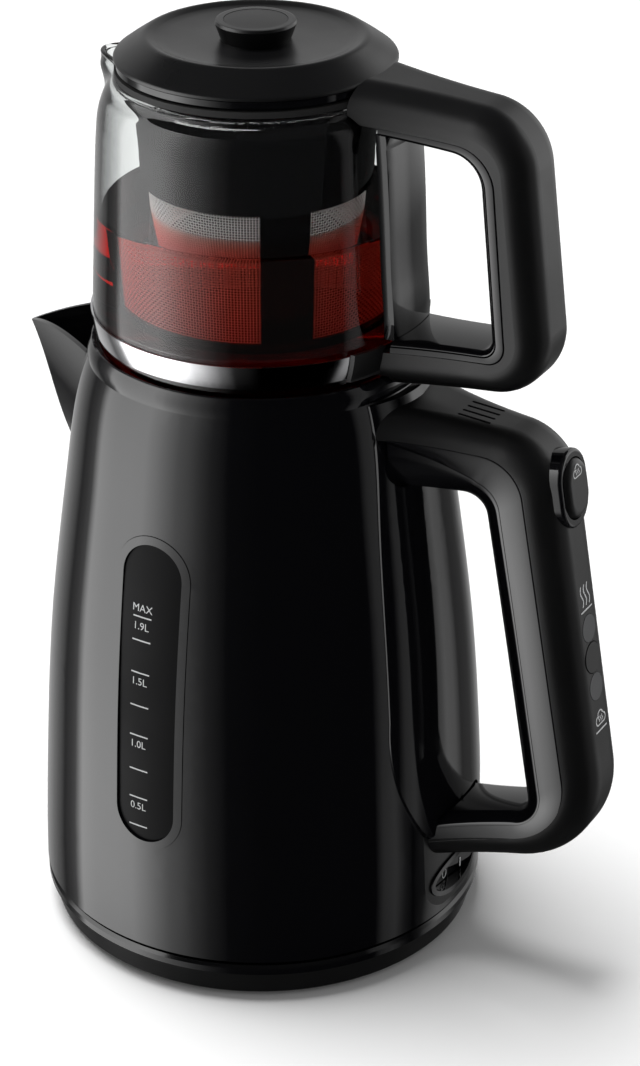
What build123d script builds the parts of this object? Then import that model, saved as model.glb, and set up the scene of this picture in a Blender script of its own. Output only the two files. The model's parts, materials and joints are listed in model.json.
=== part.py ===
from build123d import *
from math import cos, radians, sin, sqrt
import os

# Electric kettle on a power base, with a glass teapot stacked in its mouth.
# Millimetres, Z up, origin on the table under the axis.  The handles point
# along +X, the spout and the pour lip along -X, the water window along -Y.

# ---------------------------------------------------------------- clearances
FIT = 0.15             # moulded piece pressed or clipped into another
SLIDE_GAP = 0.35       # button in its guide, strainer in the neck
LOOSE_GAP = 0.9        # coupling halves, teapot foot in the mouth
REST_GAP = 0.1         # piece standing on the face that carries it

# ---------------------------------------------------------------- power base
FOOT_HEIGHT = 2.2
FOOT_RADIUS = 8.0
FOOT_COUNT = 5
FOOT_RECESS = 0.6
BASE_TOP_RADIUS = 86.0
BASE_TAPER = 3.3       # how much narrower the base is at its foot
BASE_BOTTOM_RADIUS = BASE_TOP_RADIUS - BASE_TAPER
FOOT_INSET = 16.7      # ring of feet, in from the base's lower edge
FOOT_CIRCLE = BASE_BOTTOM_RADIUS - FOOT_INSET
BASE_TOP = 16.0        # deck height above the table
DECK_SKIRT = 3.6       # depth of the deck's edge below its top
DECK_THICK = 2.0
DECK_CHAMFER = 1.1
BASE_WALL = 2.2
BASE_POST_CIRCLE = 50.0
BASE_POST_RADIUS = 4.5
SCREW_RADIUS = 1.5
SCREW_HEAD_RADIUS = 2.9
SCREW_HEAD = 1.6
CORD_NOTCH_WIDTH = 9.0
CORD_NOTCH_HEIGHT = 6.0
PLUG_RADIUS = 15.0     # fixed half of the turning connector
PLUG_HEIGHT = 13.6
PIN_RADIUS = 3.2
PIN_HEIGHT = 3.0
GROOVE_INNER = 6.0
GROOVE_OUTER = 9.5
GROOVE_DEPTH = 9.0

# -------------------------------------------------------------- kettle body
SEAM_GAP = 2.1         # dark gap between the deck and the kettle
BODY_BOTTOM = BASE_TOP + SEAM_GAP
BODY_WALL = 3.0
BODY_HEIGHT = 221.4
RIM_TOP = BODY_BOTTOM + BODY_HEIGHT
BODY_PROFILE = [
    (86.2, BODY_BOTTOM), (84.5, BODY_BOTTOM + 46.1), (80.1, BODY_BOTTOM + 109.0), (71.9, BODY_BOTTOM + 171.9)]
SHOULDER_RADIUS = 63.1
SHOULDER_HEIGHT = RIM_TOP - 7.6
RIM_ROUND = (62.8, RIM_TOP - 3.3)   # the rounding between shoulder and rim passes here
RIM_OUTER = 61.6
RIM_INNER = 60.1
STEP_DEPTH = 3.0       # ledge inside the mouth
STEP_HEIGHT = RIM_TOP - 12.5
STEP_INNER = 56.5
RIB_HEIGHT = 42.0      # ledge that carries the heating plate
RIB_THICK = 2.5
RIB_INNER = 77.0
PLATE_THICK = 1.4
PLATE_RADIUS = 79.6
PLATE_DISH = 3.0
SEAL_HEIGHT = 4.0
COVER_THICK = 2.4
SKID_RADIUS = 70.0     # ring under the cover that stands on the deck
SKID_WIDTH = 3.0
CABLE_POST_CIRCLE = 76.0
CABLE_POST_RADIUS = 4.4
COVER_SCREW_COUNT = 3
BOIL_RING = 50.0
WARM_RING = 32.0
ELEMENT_TUBE = 4.2
DIFFUSER_RADIUS = 60.0
DIFFUSER_THICK = 2.0
SOCKET_RADIUS = 21.0   # kettle half of the turning connector
SOCKET_ROOF = 5.0
CONTROL_RADIUS = 27.0

# ------------------------------------------------------------ water window
WINDOW_AZIMUTH = -92.0
WINDOW_BOTTOM = BODY_BOTTOM + 42.6
WINDOW_TOP = RIM_TOP - 53.7
WINDOW_WIDTH = 31.5
BEZEL_WIDTH = 3.2
BEZEL_PROUD = 0.35
PANE_THICK = 2.0
PANE_INSET = 1.0

# -------------------------------------------------------------------- spout
SPOUT_TIP = -103.0
SPOUT_TIP_HEIGHT = RIM_TOP - 17.0
SPOUT_LIP_RISE = 6.0   # how far the rim climbs from the tip to the body
SPOUT_HALF_ANGLE = 31.0
SPOUT_LEAN = 0.363     # the keel's nose draws back this much for each mm down
SPOUT_STATIONS = [(9.0, 1.0), (-29.5, 0.72), (-50.5, 0.45), (-68.5, 0.14)]   # height from the tip, spread
SPOUT_RIM_ROOT = -55.0
SPOUT_ROOT = -45.0     # the keel is drawn to here, inside the body
SPOUT_WALL = 2.0
SPOUT_NOSE = 1.5

# ------------------------------------------------------------ kettle handle
GRIP_HALF_WIDTH = 15.7
GRIP_EDGE = 11.5       # rounding of the outer edges
LINER_EDGE = 6.5       # rounding of the edges round the finger gap
FLARE_START = 115.0    # the arms widen from here towards the body
FLARE_END = 61.0
FLARE_HALF_WIDTH = 27.0
ROOT_X = 45.0          # outlines are drawn to here and cut back to the body
GRIP_OUTLINE = [
    (ROOT_X, RIM_TOP - 9.3), (124.4, RIM_TOP - 15.5), (152.1, BODY_BOTTOM + 41.8), (ROOT_X, BODY_BOTTOM + 16.2)]
GRIP_RADII = (24.0, 38.0)
PARTING_OUTLINE = [
    (ROOT_X, RIM_TOP - 18.3), (113.5, RIM_TOP - 22.7), (139.9, BODY_BOTTOM + 50.6), (ROOT_X, BODY_BOTTOM + 23.7)]
PARTING_RADII = (17.0, 27.0)
BAND_OUTLINE = [
    (ROOT_X, RIM_TOP - 22.0), (108.3, RIM_TOP - 32.2), (130.5, BODY_BOTTOM + 51.4),
    (101.4, BODY_BOTTOM + 44.5), (ROOT_X, BODY_BOTTOM + 22.4)]
BAND_RADII = (10.0, 12.0, 20.0)
GAP_OUTLINE = [
    (ROOT_X, RIM_TOP - 39.9), (98.2, RIM_TOP - 39.9), (119.9, BODY_BOTTOM + 54.8), (ROOT_X, BODY_BOTTOM + 33.7)]
GAP_RADII = (9.5, 6.0)
GRIP_WALL = 2.6
MOUNT_SHIFT = 22.2     # the plate behind the handle is a tighter body form, moved out
MOUNT_TIGHTER = 18.8
VENT_COUNT = 4
VENT_PITCH = 3.9
VENT_WIDTH = 1.3
VENT_START = 85.0
VENT_END = 98.0
VENT_DEPTH = 2.2

# ------------------------------------------------- buttons and lamps in the grip
BUTTON_HEIGHT = RIM_TOP - 34.5  # height of the boil button's centre
BUTTON_WIDTH = 17.5
BUTTON_LENGTH = 22.5
BUTTON_PROUD = 3.4
BUTTON_SKIRT = 4.0     # how deep the button reaches into the grip
BUTTON_TRAVEL = 2.5
BUTTON_ROUND = 3.0
COLLAR_WIDTH = 22.0
COLLAR_LENGTH = 29.5
COLLAR_PROUD = 1.5
COLLAR_ROUND = 1.3
COLLAR_DEPTH = 6.0
GRIP_POCKET = 112.0    # length of the room behind the grip's wall
KEEP_HEIGHT = 139.0    # height of the keep-warm button's centre
KEEP_RADIUS = 5.8
KEEP_TRAVEL = 0.9
LAMP_RADIUS = 5.2
LAMP_PITCH = 11.8
BOARD_THICK = 1.6
BOARD_WIDTH = 16.0
BOARD_LENGTH = 64.0

# ------------------------------------------------------------ 0/I switch
PANEL_HALF_WIDTH = 21.4
PANEL_TOP = 56.0
PANEL_BOTTOM = 20.6
PANEL_THICK = 2.0
PANEL_CORNER = 13.0
SWITCH_HEIGHT = 31.4
SWITCH_LENGTH = 37.0
SWITCH_WIDTH = 16.0
SWITCH_RIM = 2.2
SWITCH_PROUD = 0.8
ROCKER_LENGTH = 31.0
ROCKER_WIDTH = 10.6
ROCKER_THICK = 3.2
ROCKER_TILT = 7.0      # degrees from level to either position
ROCKER_PIN_RADIUS = 1.2
PIN_FIT = 0.08
SWITCH_TUB_FLOOR = 74.6
SWITCH_BODY_START = 62.0

# ------------------------------------------------------------------- teapot
POT_SEAT = STEP_HEIGHT + 4.2   # height of the ledge that the glass stands on
SEAT_THICK = 3.2
SEAT_INNER = 48.0
GLASS_WALL = 2.4
GLASS_FOOT_RADIUS = 52.0
GLASS_HEIGHT = 107.4   # from the seat to the glass rim
NECK_HEIGHT = POT_SEAT + GLASS_HEIGHT
BAND_BOTTOM = POT_SEAT + 11.3
BAND_TOP = BAND_BOTTOM + 8.9
BAND_BOTTOM_RADIUS = 59.2
BAND_TOP_RADIUS = 60.6
BAND_THICK = 0.8
GLASS_PROFILE = [
    (BAND_TOP_RADIUS, BAND_TOP), (59.6, POT_SEAT + 42.8), (58.4, POT_SEAT + 68.8), (56.9, NECK_HEIGHT - 14.6)]
NECK_RADIUS = 50.8
LIP_TIP = -65.0
LIP_TIP_RADIUS = 4.5
LIP_ROOT = -45.0
LIP_ROOT_HEIGHT = NECK_HEIGHT - 12.6
LIP_ROOT_RADIUS = 12.5

# ------------------------------------------------------------- teapot handle
POT_GRIP_HALF_WIDTH = 14.6
POT_GRIP_EDGE = 10.0
POT_LINER_EDGE = 5.0
POT_FLARE_START = 92.0
POT_FLARE_END = 50.0
POT_FLARE_HALF_WIDTH = 19.0
POT_ROOT_X = 40.0
POT_GRIP_OUTLINE = [
    (POT_ROOT_X, NECK_HEIGHT + 9.4), (110.8, NECK_HEIGHT + 3.4), (123.0, POT_SEAT + 10.2), (POT_ROOT_X, POT_SEAT + 2.0)]
POT_GRIP_RADII = (24.0, 22.0)
POT_PARTING_OUTLINE = [
    (POT_ROOT_X, NECK_HEIGHT - 4.0), (99.8, NECK_HEIGHT - 8.8), (107.2, POT_SEAT + 21.7), (POT_ROOT_X, POT_SEAT + 16.4)]
POT_PARTING_RADII = (16.0, 7.0)
POT_BAND_OUTLINE = [
    (POT_ROOT_X, NECK_HEIGHT - 6.4), (97.0, NECK_HEIGHT - 11.2), (104.2, POT_SEAT + 23.8), (POT_ROOT_X, POT_SEAT + 19.2)]
POT_BAND_RADII = (13.5, 5.5)
POT_GAP_OUTLINE = [
    (POT_ROOT_X, NECK_HEIGHT - 7.8), (93.8, NECK_HEIGHT - 12.8), (100.8, POT_SEAT + 25.4), (POT_ROOT_X, POT_SEAT + 21.2)]
POT_GAP_RADII = (12.5, 4.5)
RIM_RELIEF = 0.7       # room left round the kettle's rim under the lower arm
STRAP_PROUD = 4.0      # strap stands this far off the glass
STRAP_HALF_WIDTH = 14.0
CLAMP_PROUD = 1.6
CLAMP_HALF_ANGLE = 29.0

# --------------------------------------------------------- strainer and lid
COLLAR_TOP = NECK_HEIGHT + 6.0
COLLAR_RADIUS = 49.6
COLLAR_BORE = 44.0
TUBE_PROFILE = [(45.6, NECK_HEIGHT), (43.4, NECK_HEIGHT - 17.6), (41.6, NECK_HEIGHT - 38.6), (39.2, NECK_HEIGHT - 72.6)]
TUBE_WALL = 1.8
TUBE_BOTTOM = NECK_HEIGHT - 74.6
MESH_THICK = 0.5
GRILLE_TOP = NECK_HEIGHT - 38.6
GRILLE_BOTTOM = NECK_HEIGHT - 67.6
GRILLE_COUNT = 4
GRILLE_ANGLE = 63.0
GRILLE_CORNER = 5.0
GASKET_HEIGHT = 2.4
LID_RADIUS = 50.4
LID_DISH_RADIUS = 39.2
LID_DISH_TOP = COLLAR_TOP + 9.4
LID_CENTRE = COLLAR_TOP + 6.4
LID_CROWN = (46.2, COLLAR_TOP + 5.9)   # the crown passes here between edge and dish
LID_THICK = 2.4
PLUG_RING_DEPTH = 5.5
PLUG_RING_WALL = 1.8
KNOB_STEM = 12.4
KNOB_RADIUS = 14.6
KNOB_HEIGHT = 7.1
KNOB_TOP = LID_CENTRE + KNOB_HEIGHT
KNOB_CAP_RADIUS = 11.3


# =============================================================== shared forms
def outline(points, radii):
    """Closed face from a path of straight runs with rounded corners."""
    inner = list(points)
    return FilletPolyline(*inner, radius=[0, *radii, 0], close=True)


def body_sketch_line(offset):
    """Outer line of the kettle body, moved inwards by offset."""
    points = [(radius - offset, height) for radius, height in BODY_PROFILE]
    points.append((SHOULDER_RADIUS - offset, SHOULDER_HEIGHT))
    return Spline(*points, tangents=[(-0.01, 1), (-0.42, 1)])


def body_solid(proud=0.0):
    """The kettle body as a filled form, grown outwards by proud."""
    with BuildPart() as solid:
        with BuildSketch(Plane.XZ):
            with BuildLine():
                side = body_sketch_line(-proud)
                rim = ThreePointArc(
                    side @ 1, (RIM_ROUND[0] + proud, RIM_ROUND[1]), (RIM_OUTER + proud, RIM_TOP - 0.6))
                top = Polyline(rim @ 1, (0, RIM_TOP - 0.6), (0, BODY_BOTTOM))
                Line(top @ 1, side @ 0)
            make_face()
        revolve(axis=Axis.Z)
    return solid.part


def flared_prism(half_width, start, end, end_half_width, root, bottom, top):
    """Upright prism with a handle's plan: straight grip, arms widening on an arc."""
    rise = end_half_width - half_width
    arc_radius = ((start - end) ** 2 + rise ** 2) / (2 * rise)
    root_half = half_width + arc_radius - sqrt(arc_radius ** 2 - (start - root) ** 2)
    with BuildPart() as prism:
        with BuildSketch(Plane.XY.offset(bottom)):
            with BuildLine():
                right = TangentArc((start, half_width), (root, root_half), tangent=(-1, 0))
                left = TangentArc((start, -half_width), (root, -root_half), tangent=(-1, 0))
                Polyline(right @ 0, (start + 60, half_width), (start + 60, -half_width), left @ 0)
                Line(right @ 1, left @ 1)
            make_face()
        extrude(amount=top - bottom)
    return prism.part


def handle_form(outer, outer_radii, gap, gap_radii, widths, outer_edge, inner_edge, root):
    """Closed D-shaped handle with rounded outer edges and a rounded finger gap."""
    with BuildPart() as form:
        with BuildSketch(Plane.XZ):
            with BuildLine():
                outline(outer, outer_radii)
            make_face()
        extrude(amount=45, both=True)
        add(widths, mode=Mode.INTERSECT)
        long_edges = [
            e for e in form.edges()
            if abs((e @ 0.5).Y) > 5 and abs((e @ 0.5).X - root) > 0.5
        ]
        fillet(long_edges, outer_edge)
        with BuildSketch(Plane.XZ):
            with BuildLine():
                outline([(root - 5, gap[0][1])] + gap[1:-1] + [(root - 5, gap[-1][1])], gap_radii)
            make_face()
        extrude(amount=45, both=True, mode=Mode.SUBTRACT)
        gap_edges = [
            e for e in form.edges(Select.LAST)
            if abs((e @ 0.5).Y) > 5 and abs((e @ 0).Y) > 5 and abs((e @ 1).Y) > 5
            and abs((e @ 0.5).X - root) > 0.5
        ]
        fillet(gap_edges, inner_edge)
    return form.part


def side_prism(points, radii):
    """Filled outline in the XZ plane, thick enough to pass through a handle."""
    with BuildPart() as prism:
        with BuildSketch(Plane.XZ):
            with BuildLine():
                start = (points[0][0] - 10, points[0][1])
                end = (points[-1][0] - 10, points[-1][1])
                outline([start, *points[1:-1], end], radii)
            make_face()
        extrude(amount=50, both=True)
    return prism.part


BODY_FORM = body_solid()
BODY_SPACE = body_solid(REST_GAP)
CABLE_RIB_TOP = RIB_HEIGHT + RIB_THICK

# ================================================================ power base
with BuildPart() as base_shell:
    with BuildSketch(Plane.XZ):
        with BuildLine():
            Polyline(
                (0, FOOT_HEIGHT - FOOT_RECESS), (BASE_BOTTOM_RADIUS - 1.2, FOOT_HEIGHT - FOOT_RECESS),
                (BASE_BOTTOM_RADIUS, FOOT_HEIGHT + 0.4), (BASE_TOP_RADIUS - 0.6, BASE_TOP - DECK_SKIRT),
                (BASE_TOP_RADIUS - 0.6 - BASE_WALL, BASE_TOP - DECK_SKIRT),
                (BASE_BOTTOM_RADIUS - BASE_WALL, FOOT_HEIGHT + BASE_WALL), (0, FOOT_HEIGHT + BASE_WALL),
                close=True,
            )
        make_face()
    revolve(axis=Axis.Z)
    with BuildSketch(Plane.XY.offset(FOOT_HEIGHT + BASE_WALL)):
        with PolarLocations(BASE_POST_CIRCLE, COVER_SCREW_COUNT, 30):
            Circle(BASE_POST_RADIUS)
    extrude(amount=BASE_TOP - DECK_THICK - REST_GAP - FOOT_HEIGHT - BASE_WALL)
    with BuildSketch(Plane.XY):
        with PolarLocations(BASE_POST_CIRCLE, COVER_SCREW_COUNT, 30):
            Circle(SCREW_RADIUS + FIT)
    extrude(amount=BASE_TOP - DECK_THICK, mode=Mode.SUBTRACT)
    with BuildSketch(Plane.XY):
        with PolarLocations(BASE_POST_CIRCLE, COVER_SCREW_COUNT, 30):
            Circle(SCREW_HEAD_RADIUS + FIT)
    extrude(amount=FOOT_HEIGHT - FOOT_RECESS + SCREW_HEAD, mode=Mode.SUBTRACT)
    with BuildSketch(Plane.XY):
        with PolarLocations(FOOT_CIRCLE, FOOT_COUNT, 12):
            Circle(FOOT_RADIUS + FIT)
    extrude(amount=FOOT_HEIGHT, mode=Mode.SUBTRACT)
    with BuildSketch(Plane.XZ.offset(-BASE_TOP_RADIUS)):
        with Locations((0, FOOT_HEIGHT + BASE_WALL + CORD_NOTCH_HEIGHT / 2)):
            RectangleRounded(CORD_NOTCH_WIDTH, CORD_NOTCH_HEIGHT, 2.5)
    extrude(amount=8, both=True, mode=Mode.SUBTRACT)
base_shell.part.label = "base_shell"

with BuildPart() as base_deck:
    with BuildSketch(Plane.XZ):
        with BuildLine():
            Polyline(
                (0, BASE_TOP - DECK_THICK), (BASE_TOP_RADIUS - BASE_WALL, BASE_TOP - DECK_THICK),
                (BASE_TOP_RADIUS - BASE_WALL, BASE_TOP - DECK_SKIRT), (BASE_TOP_RADIUS, BASE_TOP - DECK_SKIRT),
                (BASE_TOP_RADIUS, BASE_TOP - DECK_CHAMFER), (BASE_TOP_RADIUS - DECK_CHAMFER, BASE_TOP),
                (0, BASE_TOP), close=True,
            )
        make_face()
    revolve(axis=Axis.Z)
    with BuildSketch(Plane.XY.offset(BASE_TOP - DECK_THICK)):
        Circle(PLUG_RADIUS - 2)
    extrude(amount=DECK_THICK, mode=Mode.SUBTRACT)
base_deck.part.label = "base_deck"

with BuildPart() as base_plug:
    with BuildSketch(Plane.XY.offset(BASE_TOP)):
        Circle(PLUG_RADIUS)
    extrude(amount=PLUG_HEIGHT)
    chamfer(base_plug.faces().sort_by(Axis.Z)[-1].edges(), 0.8)
    with BuildSketch(Plane.XY.offset(FOOT_HEIGHT + BASE_WALL)):
        Circle(PLUG_RADIUS - 2 - FIT)
    extrude(amount=BASE_TOP - FOOT_HEIGHT - BASE_WALL)
    with BuildSketch(Plane.XY.offset(BASE_TOP + PLUG_HEIGHT - GROOVE_DEPTH)):
        Circle(GROOVE_OUTER)
        Circle(GROOVE_INNER, mode=Mode.SUBTRACT)
    extrude(amount=GROOVE_DEPTH, mode=Mode.SUBTRACT)
    with BuildSketch(Plane.XY.offset(BASE_TOP + PLUG_HEIGHT)):
        Circle(PIN_RADIUS)
    extrude(amount=PIN_HEIGHT)
base_plug.part.label = "base_plug"

with BuildPart() as base_feet:
    with BuildSketch(Plane.XY):
        with PolarLocations(FOOT_CIRCLE, FOOT_COUNT, 12):
            Circle(FOOT_RADIUS)
    extrude(amount=FOOT_HEIGHT)
    chamfer(base_feet.faces().filter_by(Plane.XY).group_by(Axis.Z)[0].edges(), 0.6)
base_feet.part.label = "base_feet"

with BuildPart() as base_screws:
    with BuildSketch(Plane.XY.offset(FOOT_HEIGHT - FOOT_RECESS + 0.2)):
        with PolarLocations(BASE_POST_CIRCLE, COVER_SCREW_COUNT, 30):
            Circle(SCREW_HEAD_RADIUS)
    extrude(amount=SCREW_HEAD - 0.2)
    with BuildSketch(Plane.XY.offset(FOOT_HEIGHT - FOOT_RECESS + SCREW_HEAD)):
        with PolarLocations(BASE_POST_CIRCLE, COVER_SCREW_COUNT, 30):
            Circle(SCREW_RADIUS)
    extrude(amount=BASE_TOP - DECK_THICK - REST_GAP - FOOT_HEIGHT - SCREW_HEAD)
base_screws.part.label = "base_screws"

# ============================================================== kettle shell
PANEL_BLOCK = Pos(BODY_PROFILE[0][0], 0, (PANEL_TOP + PANEL_BOTTOM) / 2) * Box(
    40, 2 * PANEL_HALF_WIDTH, PANEL_TOP - PANEL_BOTTOM)
PANEL_BLOCK = fillet(PANEL_BLOCK.edges().filter_by(Axis.X).group_by(Axis.Z)[0], PANEL_CORNER)
PANEL_RECESS = PANEL_BLOCK - body_solid(-PANEL_THICK)

WINDOW_MIDDLE = (WINDOW_TOP + WINDOW_BOTTOM) / 2
WINDOW_PLANE = Plane(
    origin=(0, 0, WINDOW_MIDDLE),
    x_dir=(-sin(radians(WINDOW_AZIMUTH)), cos(radians(WINDOW_AZIMUTH)), 0),
    z_dir=(cos(radians(WINDOW_AZIMUTH)), sin(radians(WINDOW_AZIMUTH)), 0),
)


def window_prism(shrink):
    """Stadium prism that points out of the body at the window."""
    width = WINDOW_WIDTH - 2 * shrink
    height = WINDOW_TOP - WINDOW_BOTTOM - 2 * shrink
    with BuildPart() as prism:
        with BuildSketch(WINDOW_PLANE.offset(30)):
            SlotOverall(height, width, rotation=90)
        extrude(amount=80)
    return prism.part


def spout_form(shrink, root):
    """Keel-shaped spout, its walls moved inwards by shrink, filled to its top."""
    reach = SPOUT_TIP + shrink / sin(radians(SPOUT_HALF_ANGLE))
    with BuildPart() as form:
        for rise, spread in SPOUT_STATIONS:
            height = SPOUT_TIP_HEIGHT + rise
            nose = reach - SPOUT_LEAN * rise
            half = (root - nose) * sin(radians(SPOUT_HALF_ANGLE)) / cos(radians(SPOUT_HALF_ANGLE)) * spread
            with BuildSketch(Plane.XY.offset(height)):
                with BuildLine():
                    FilletPolyline(
                        (root, half), (nose, 0), (root, -half), radius=[0, SPOUT_NOSE - shrink * 0.4, 0], close=True
                    )
                make_face()
        loft()
    return form.part


def lip_cut():
    """Everything above the spout's rim, which climbs towards the body."""
    with BuildPart() as cut:
        with BuildSketch(Plane.XZ):
            with BuildLine():
                rim = ThreePointArc(
                    (SPOUT_TIP - 2, SPOUT_TIP_HEIGHT - 1.0),
                    (SPOUT_TIP + 11, SPOUT_TIP_HEIGHT + SPOUT_LIP_RISE * 0.7),
                    (SPOUT_RIM_ROOT, SPOUT_TIP_HEIGHT + SPOUT_LIP_RISE),
                )
                Polyline(
                    rim @ 1, (SPOUT_ROOT, SPOUT_TIP_HEIGHT + SPOUT_LIP_RISE), (SPOUT_ROOT, RIM_TOP), (SPOUT_TIP - 8, RIM_TOP),
                    (SPOUT_TIP - 8, SPOUT_TIP_HEIGHT - 1.0), rim @ 0,
                )
            make_face()
        extrude(amount=60, both=True)
    return cut.part


SPOUT_OUTER = spout_form(0, SPOUT_ROOT) - lip_cut()
SPOUT_INNER = spout_form(SPOUT_WALL, SPOUT_ROOT) - lip_cut()

with BuildPart() as kettle_shell:
    with BuildSketch(Plane.XZ):
        with BuildLine():
            side = body_sketch_line(0)
            rim = ThreePointArc(side @ 1, RIM_ROUND, (RIM_OUTER, RIM_TOP - 0.6))
            lip = ThreePointArc(rim @ 1, ((RIM_OUTER + RIM_INNER) / 2, RIM_TOP), (RIM_INNER, RIM_TOP - 0.6))
            mouth = Polyline(
                lip @ 1, (RIM_INNER, STEP_HEIGHT), (STEP_INNER, STEP_HEIGHT), (STEP_INNER, STEP_HEIGHT - STEP_DEPTH),
                (SHOULDER_RADIUS - BODY_WALL + 1.2, STEP_HEIGHT - STEP_DEPTH),
                (BODY_PROFILE[3][0] - BODY_WALL, BODY_PROFILE[3][1]),
            )
            belly = Spline(
                mouth @ 1, (BODY_PROFILE[2][0] - BODY_WALL, BODY_PROFILE[2][1]),
                (BODY_PROFILE[1][0] - BODY_WALL, BODY_PROFILE[1][1]),
                (BODY_PROFILE[0][0] - BODY_WALL - 0.7, CABLE_RIB_TOP),
            )
            Polyline(
                belly @ 1, (RIB_INNER, CABLE_RIB_TOP), (RIB_INNER, RIB_HEIGHT),
                (BODY_PROFILE[0][0] - BODY_WALL - 0.6, RIB_HEIGHT),
                (BODY_PROFILE[0][0] - BODY_WALL, BODY_BOTTOM), side @ 0,
            )
        make_face()
    revolve(axis=Axis.Z)
    with BuildSketch(Plane.XY.offset(BODY_BOTTOM + COVER_THICK + REST_GAP)):
        with PolarLocations(CABLE_POST_CIRCLE, COVER_SCREW_COUNT, 60):
            Circle(CABLE_POST_RADIUS)
            Circle(SCREW_RADIUS + FIT, mode=Mode.SUBTRACT)
    extrude(amount=RIB_HEIGHT - BODY_BOTTOM - COVER_THICK)
    add(window_prism(-FIT), mode=Mode.SUBTRACT)
    add(PANEL_RECESS, mode=Mode.SUBTRACT)
    with BuildSketch(Plane.YZ.offset(60)):
        with Locations((0, SWITCH_HEIGHT)):
            Ellipse(SWITCH_LENGTH / 2 + FIT, SWITCH_WIDTH / 2 + FIT)
    extrude(amount=40, mode=Mode.SUBTRACT)
    add(SPOUT_INNER, mode=Mode.SUBTRACT)
kettle_shell.part.label = "kettle_shell"

with BuildPart() as spout:
    add(SPOUT_OUTER)
    add(SPOUT_INNER, mode=Mode.SUBTRACT)
    add(BODY_SPACE, mode=Mode.SUBTRACT)
spout.part.label = "spout"

with BuildPart() as mouth_ring:
    with BuildSketch(Plane.XZ):
        with BuildLine():
            Polyline(
                (SEAT_INNER, STEP_HEIGHT), (RIM_INNER - FIT, STEP_HEIGHT), (RIM_INNER - FIT, POT_SEAT + 1.0),
                (RIM_INNER - 2.2, POT_SEAT + 1.0), (RIM_INNER - 3.2, POT_SEAT), (SEAT_INNER, POT_SEAT), close=True,
            )
        make_face()
    revolve(axis=Axis.Z)
mouth_ring.part.label = "mouth_ring"

with BuildPart() as window_bezel:
    add(BODY_FORM)
    add(body_solid(BEZEL_PROUD), mode=Mode.ADD)
    add(body_solid(-BODY_WALL), mode=Mode.SUBTRACT)
    add(window_prism(0), mode=Mode.INTERSECT)
    add(window_prism(BEZEL_WIDTH), mode=Mode.SUBTRACT)
window_bezel.part.label = "window_bezel"

with BuildPart() as water_window:
    add(body_solid(-PANE_INSET))
    add(body_solid(-PANE_INSET - PANE_THICK), mode=Mode.SUBTRACT)
    add(window_prism(BEZEL_WIDTH + REST_GAP), mode=Mode.INTERSECT)
water_window.part.label = "water_window"

# ------------------------------------------------------ bottom of the kettle
with BuildPart() as bottom_cover:
    with BuildSketch(Plane.XZ):
        with BuildLine():
            Polyline(
                (SOCKET_RADIUS + LOOSE_GAP, BODY_BOTTOM),
                (SKID_RADIUS, BODY_BOTTOM), (SKID_RADIUS, BASE_TOP + REST_GAP),
                (SKID_RADIUS + SKID_WIDTH, BASE_TOP + REST_GAP), (SKID_RADIUS + SKID_WIDTH, BODY_BOTTOM),
                (BODY_PROFILE[0][0] - BODY_WALL - FIT, BODY_BOTTOM),
                (BODY_PROFILE[0][0] - BODY_WALL - FIT, BODY_BOTTOM + COVER_THICK),
                (SOCKET_RADIUS + LOOSE_GAP, BODY_BOTTOM + COVER_THICK), close=True,
            )
        make_face()
    revolve(axis=Axis.Z)
    with BuildSketch(Plane.XY.offset(BODY_BOTTOM)):
        with PolarLocations(CABLE_POST_CIRCLE, COVER_SCREW_COUNT, 60):
            Circle(SCREW_RADIUS + FIT)
    extrude(amount=COVER_THICK, mode=Mode.SUBTRACT)
bottom_cover.part.label = "bottom_cover"

with BuildPart() as cover_screws:
    with BuildSketch(Plane.XY.offset(BODY_BOTTOM - SCREW_HEAD)):
        with PolarLocations(CABLE_POST_CIRCLE, COVER_SCREW_COUNT, 60):
            Circle(SCREW_HEAD_RADIUS)
    extrude(amount=SCREW_HEAD)
    with BuildSketch(Plane.XY.offset(BODY_BOTTOM)):
        with PolarLocations(CABLE_POST_CIRCLE, COVER_SCREW_COUNT, 60):
            Circle(SCREW_RADIUS)
    extrude(amount=16)
cover_screws.part.label = "cover_screws"

with BuildPart() as heating_plate:
    with BuildSketch(Plane.XZ):
        with BuildLine():
            Polyline(
                (0, CABLE_RIB_TOP + PLATE_DISH), (DIFFUSER_RADIUS + 4, CABLE_RIB_TOP + PLATE_DISH),
                (PLATE_RADIUS - 6, CABLE_RIB_TOP), (PLATE_RADIUS, CABLE_RIB_TOP),
                (PLATE_RADIUS, CABLE_RIB_TOP + PLATE_THICK), (PLATE_RADIUS - 6, CABLE_RIB_TOP + PLATE_THICK),
                (DIFFUSER_RADIUS + 4, CABLE_RIB_TOP + PLATE_DISH + PLATE_THICK),
                (0, CABLE_RIB_TOP + PLATE_DISH + PLATE_THICK), close=True,
            )
        make_face()
    revolve(axis=Axis.Z)
heating_plate.part.label = "heating_plate"

with BuildPart() as plate_seal:
    with BuildSketch(Plane.XZ):
        with BuildLine():
            Polyline(
                (PLATE_RADIUS, CABLE_RIB_TOP), (PLATE_RADIUS + 2.2, CABLE_RIB_TOP),
                (PLATE_RADIUS + 2.2, CABLE_RIB_TOP + SEAL_HEIGHT), (PLATE_RADIUS - 2.5, CABLE_RIB_TOP + SEAL_HEIGHT),
                (PLATE_RADIUS - 2.5, CABLE_RIB_TOP + PLATE_THICK), (PLATE_RADIUS, CABLE_RIB_TOP + PLATE_THICK),
                close=True,
            )
        make_face()
    revolve(axis=Axis.Z)
plate_seal.part.label = "plate_seal"

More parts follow.
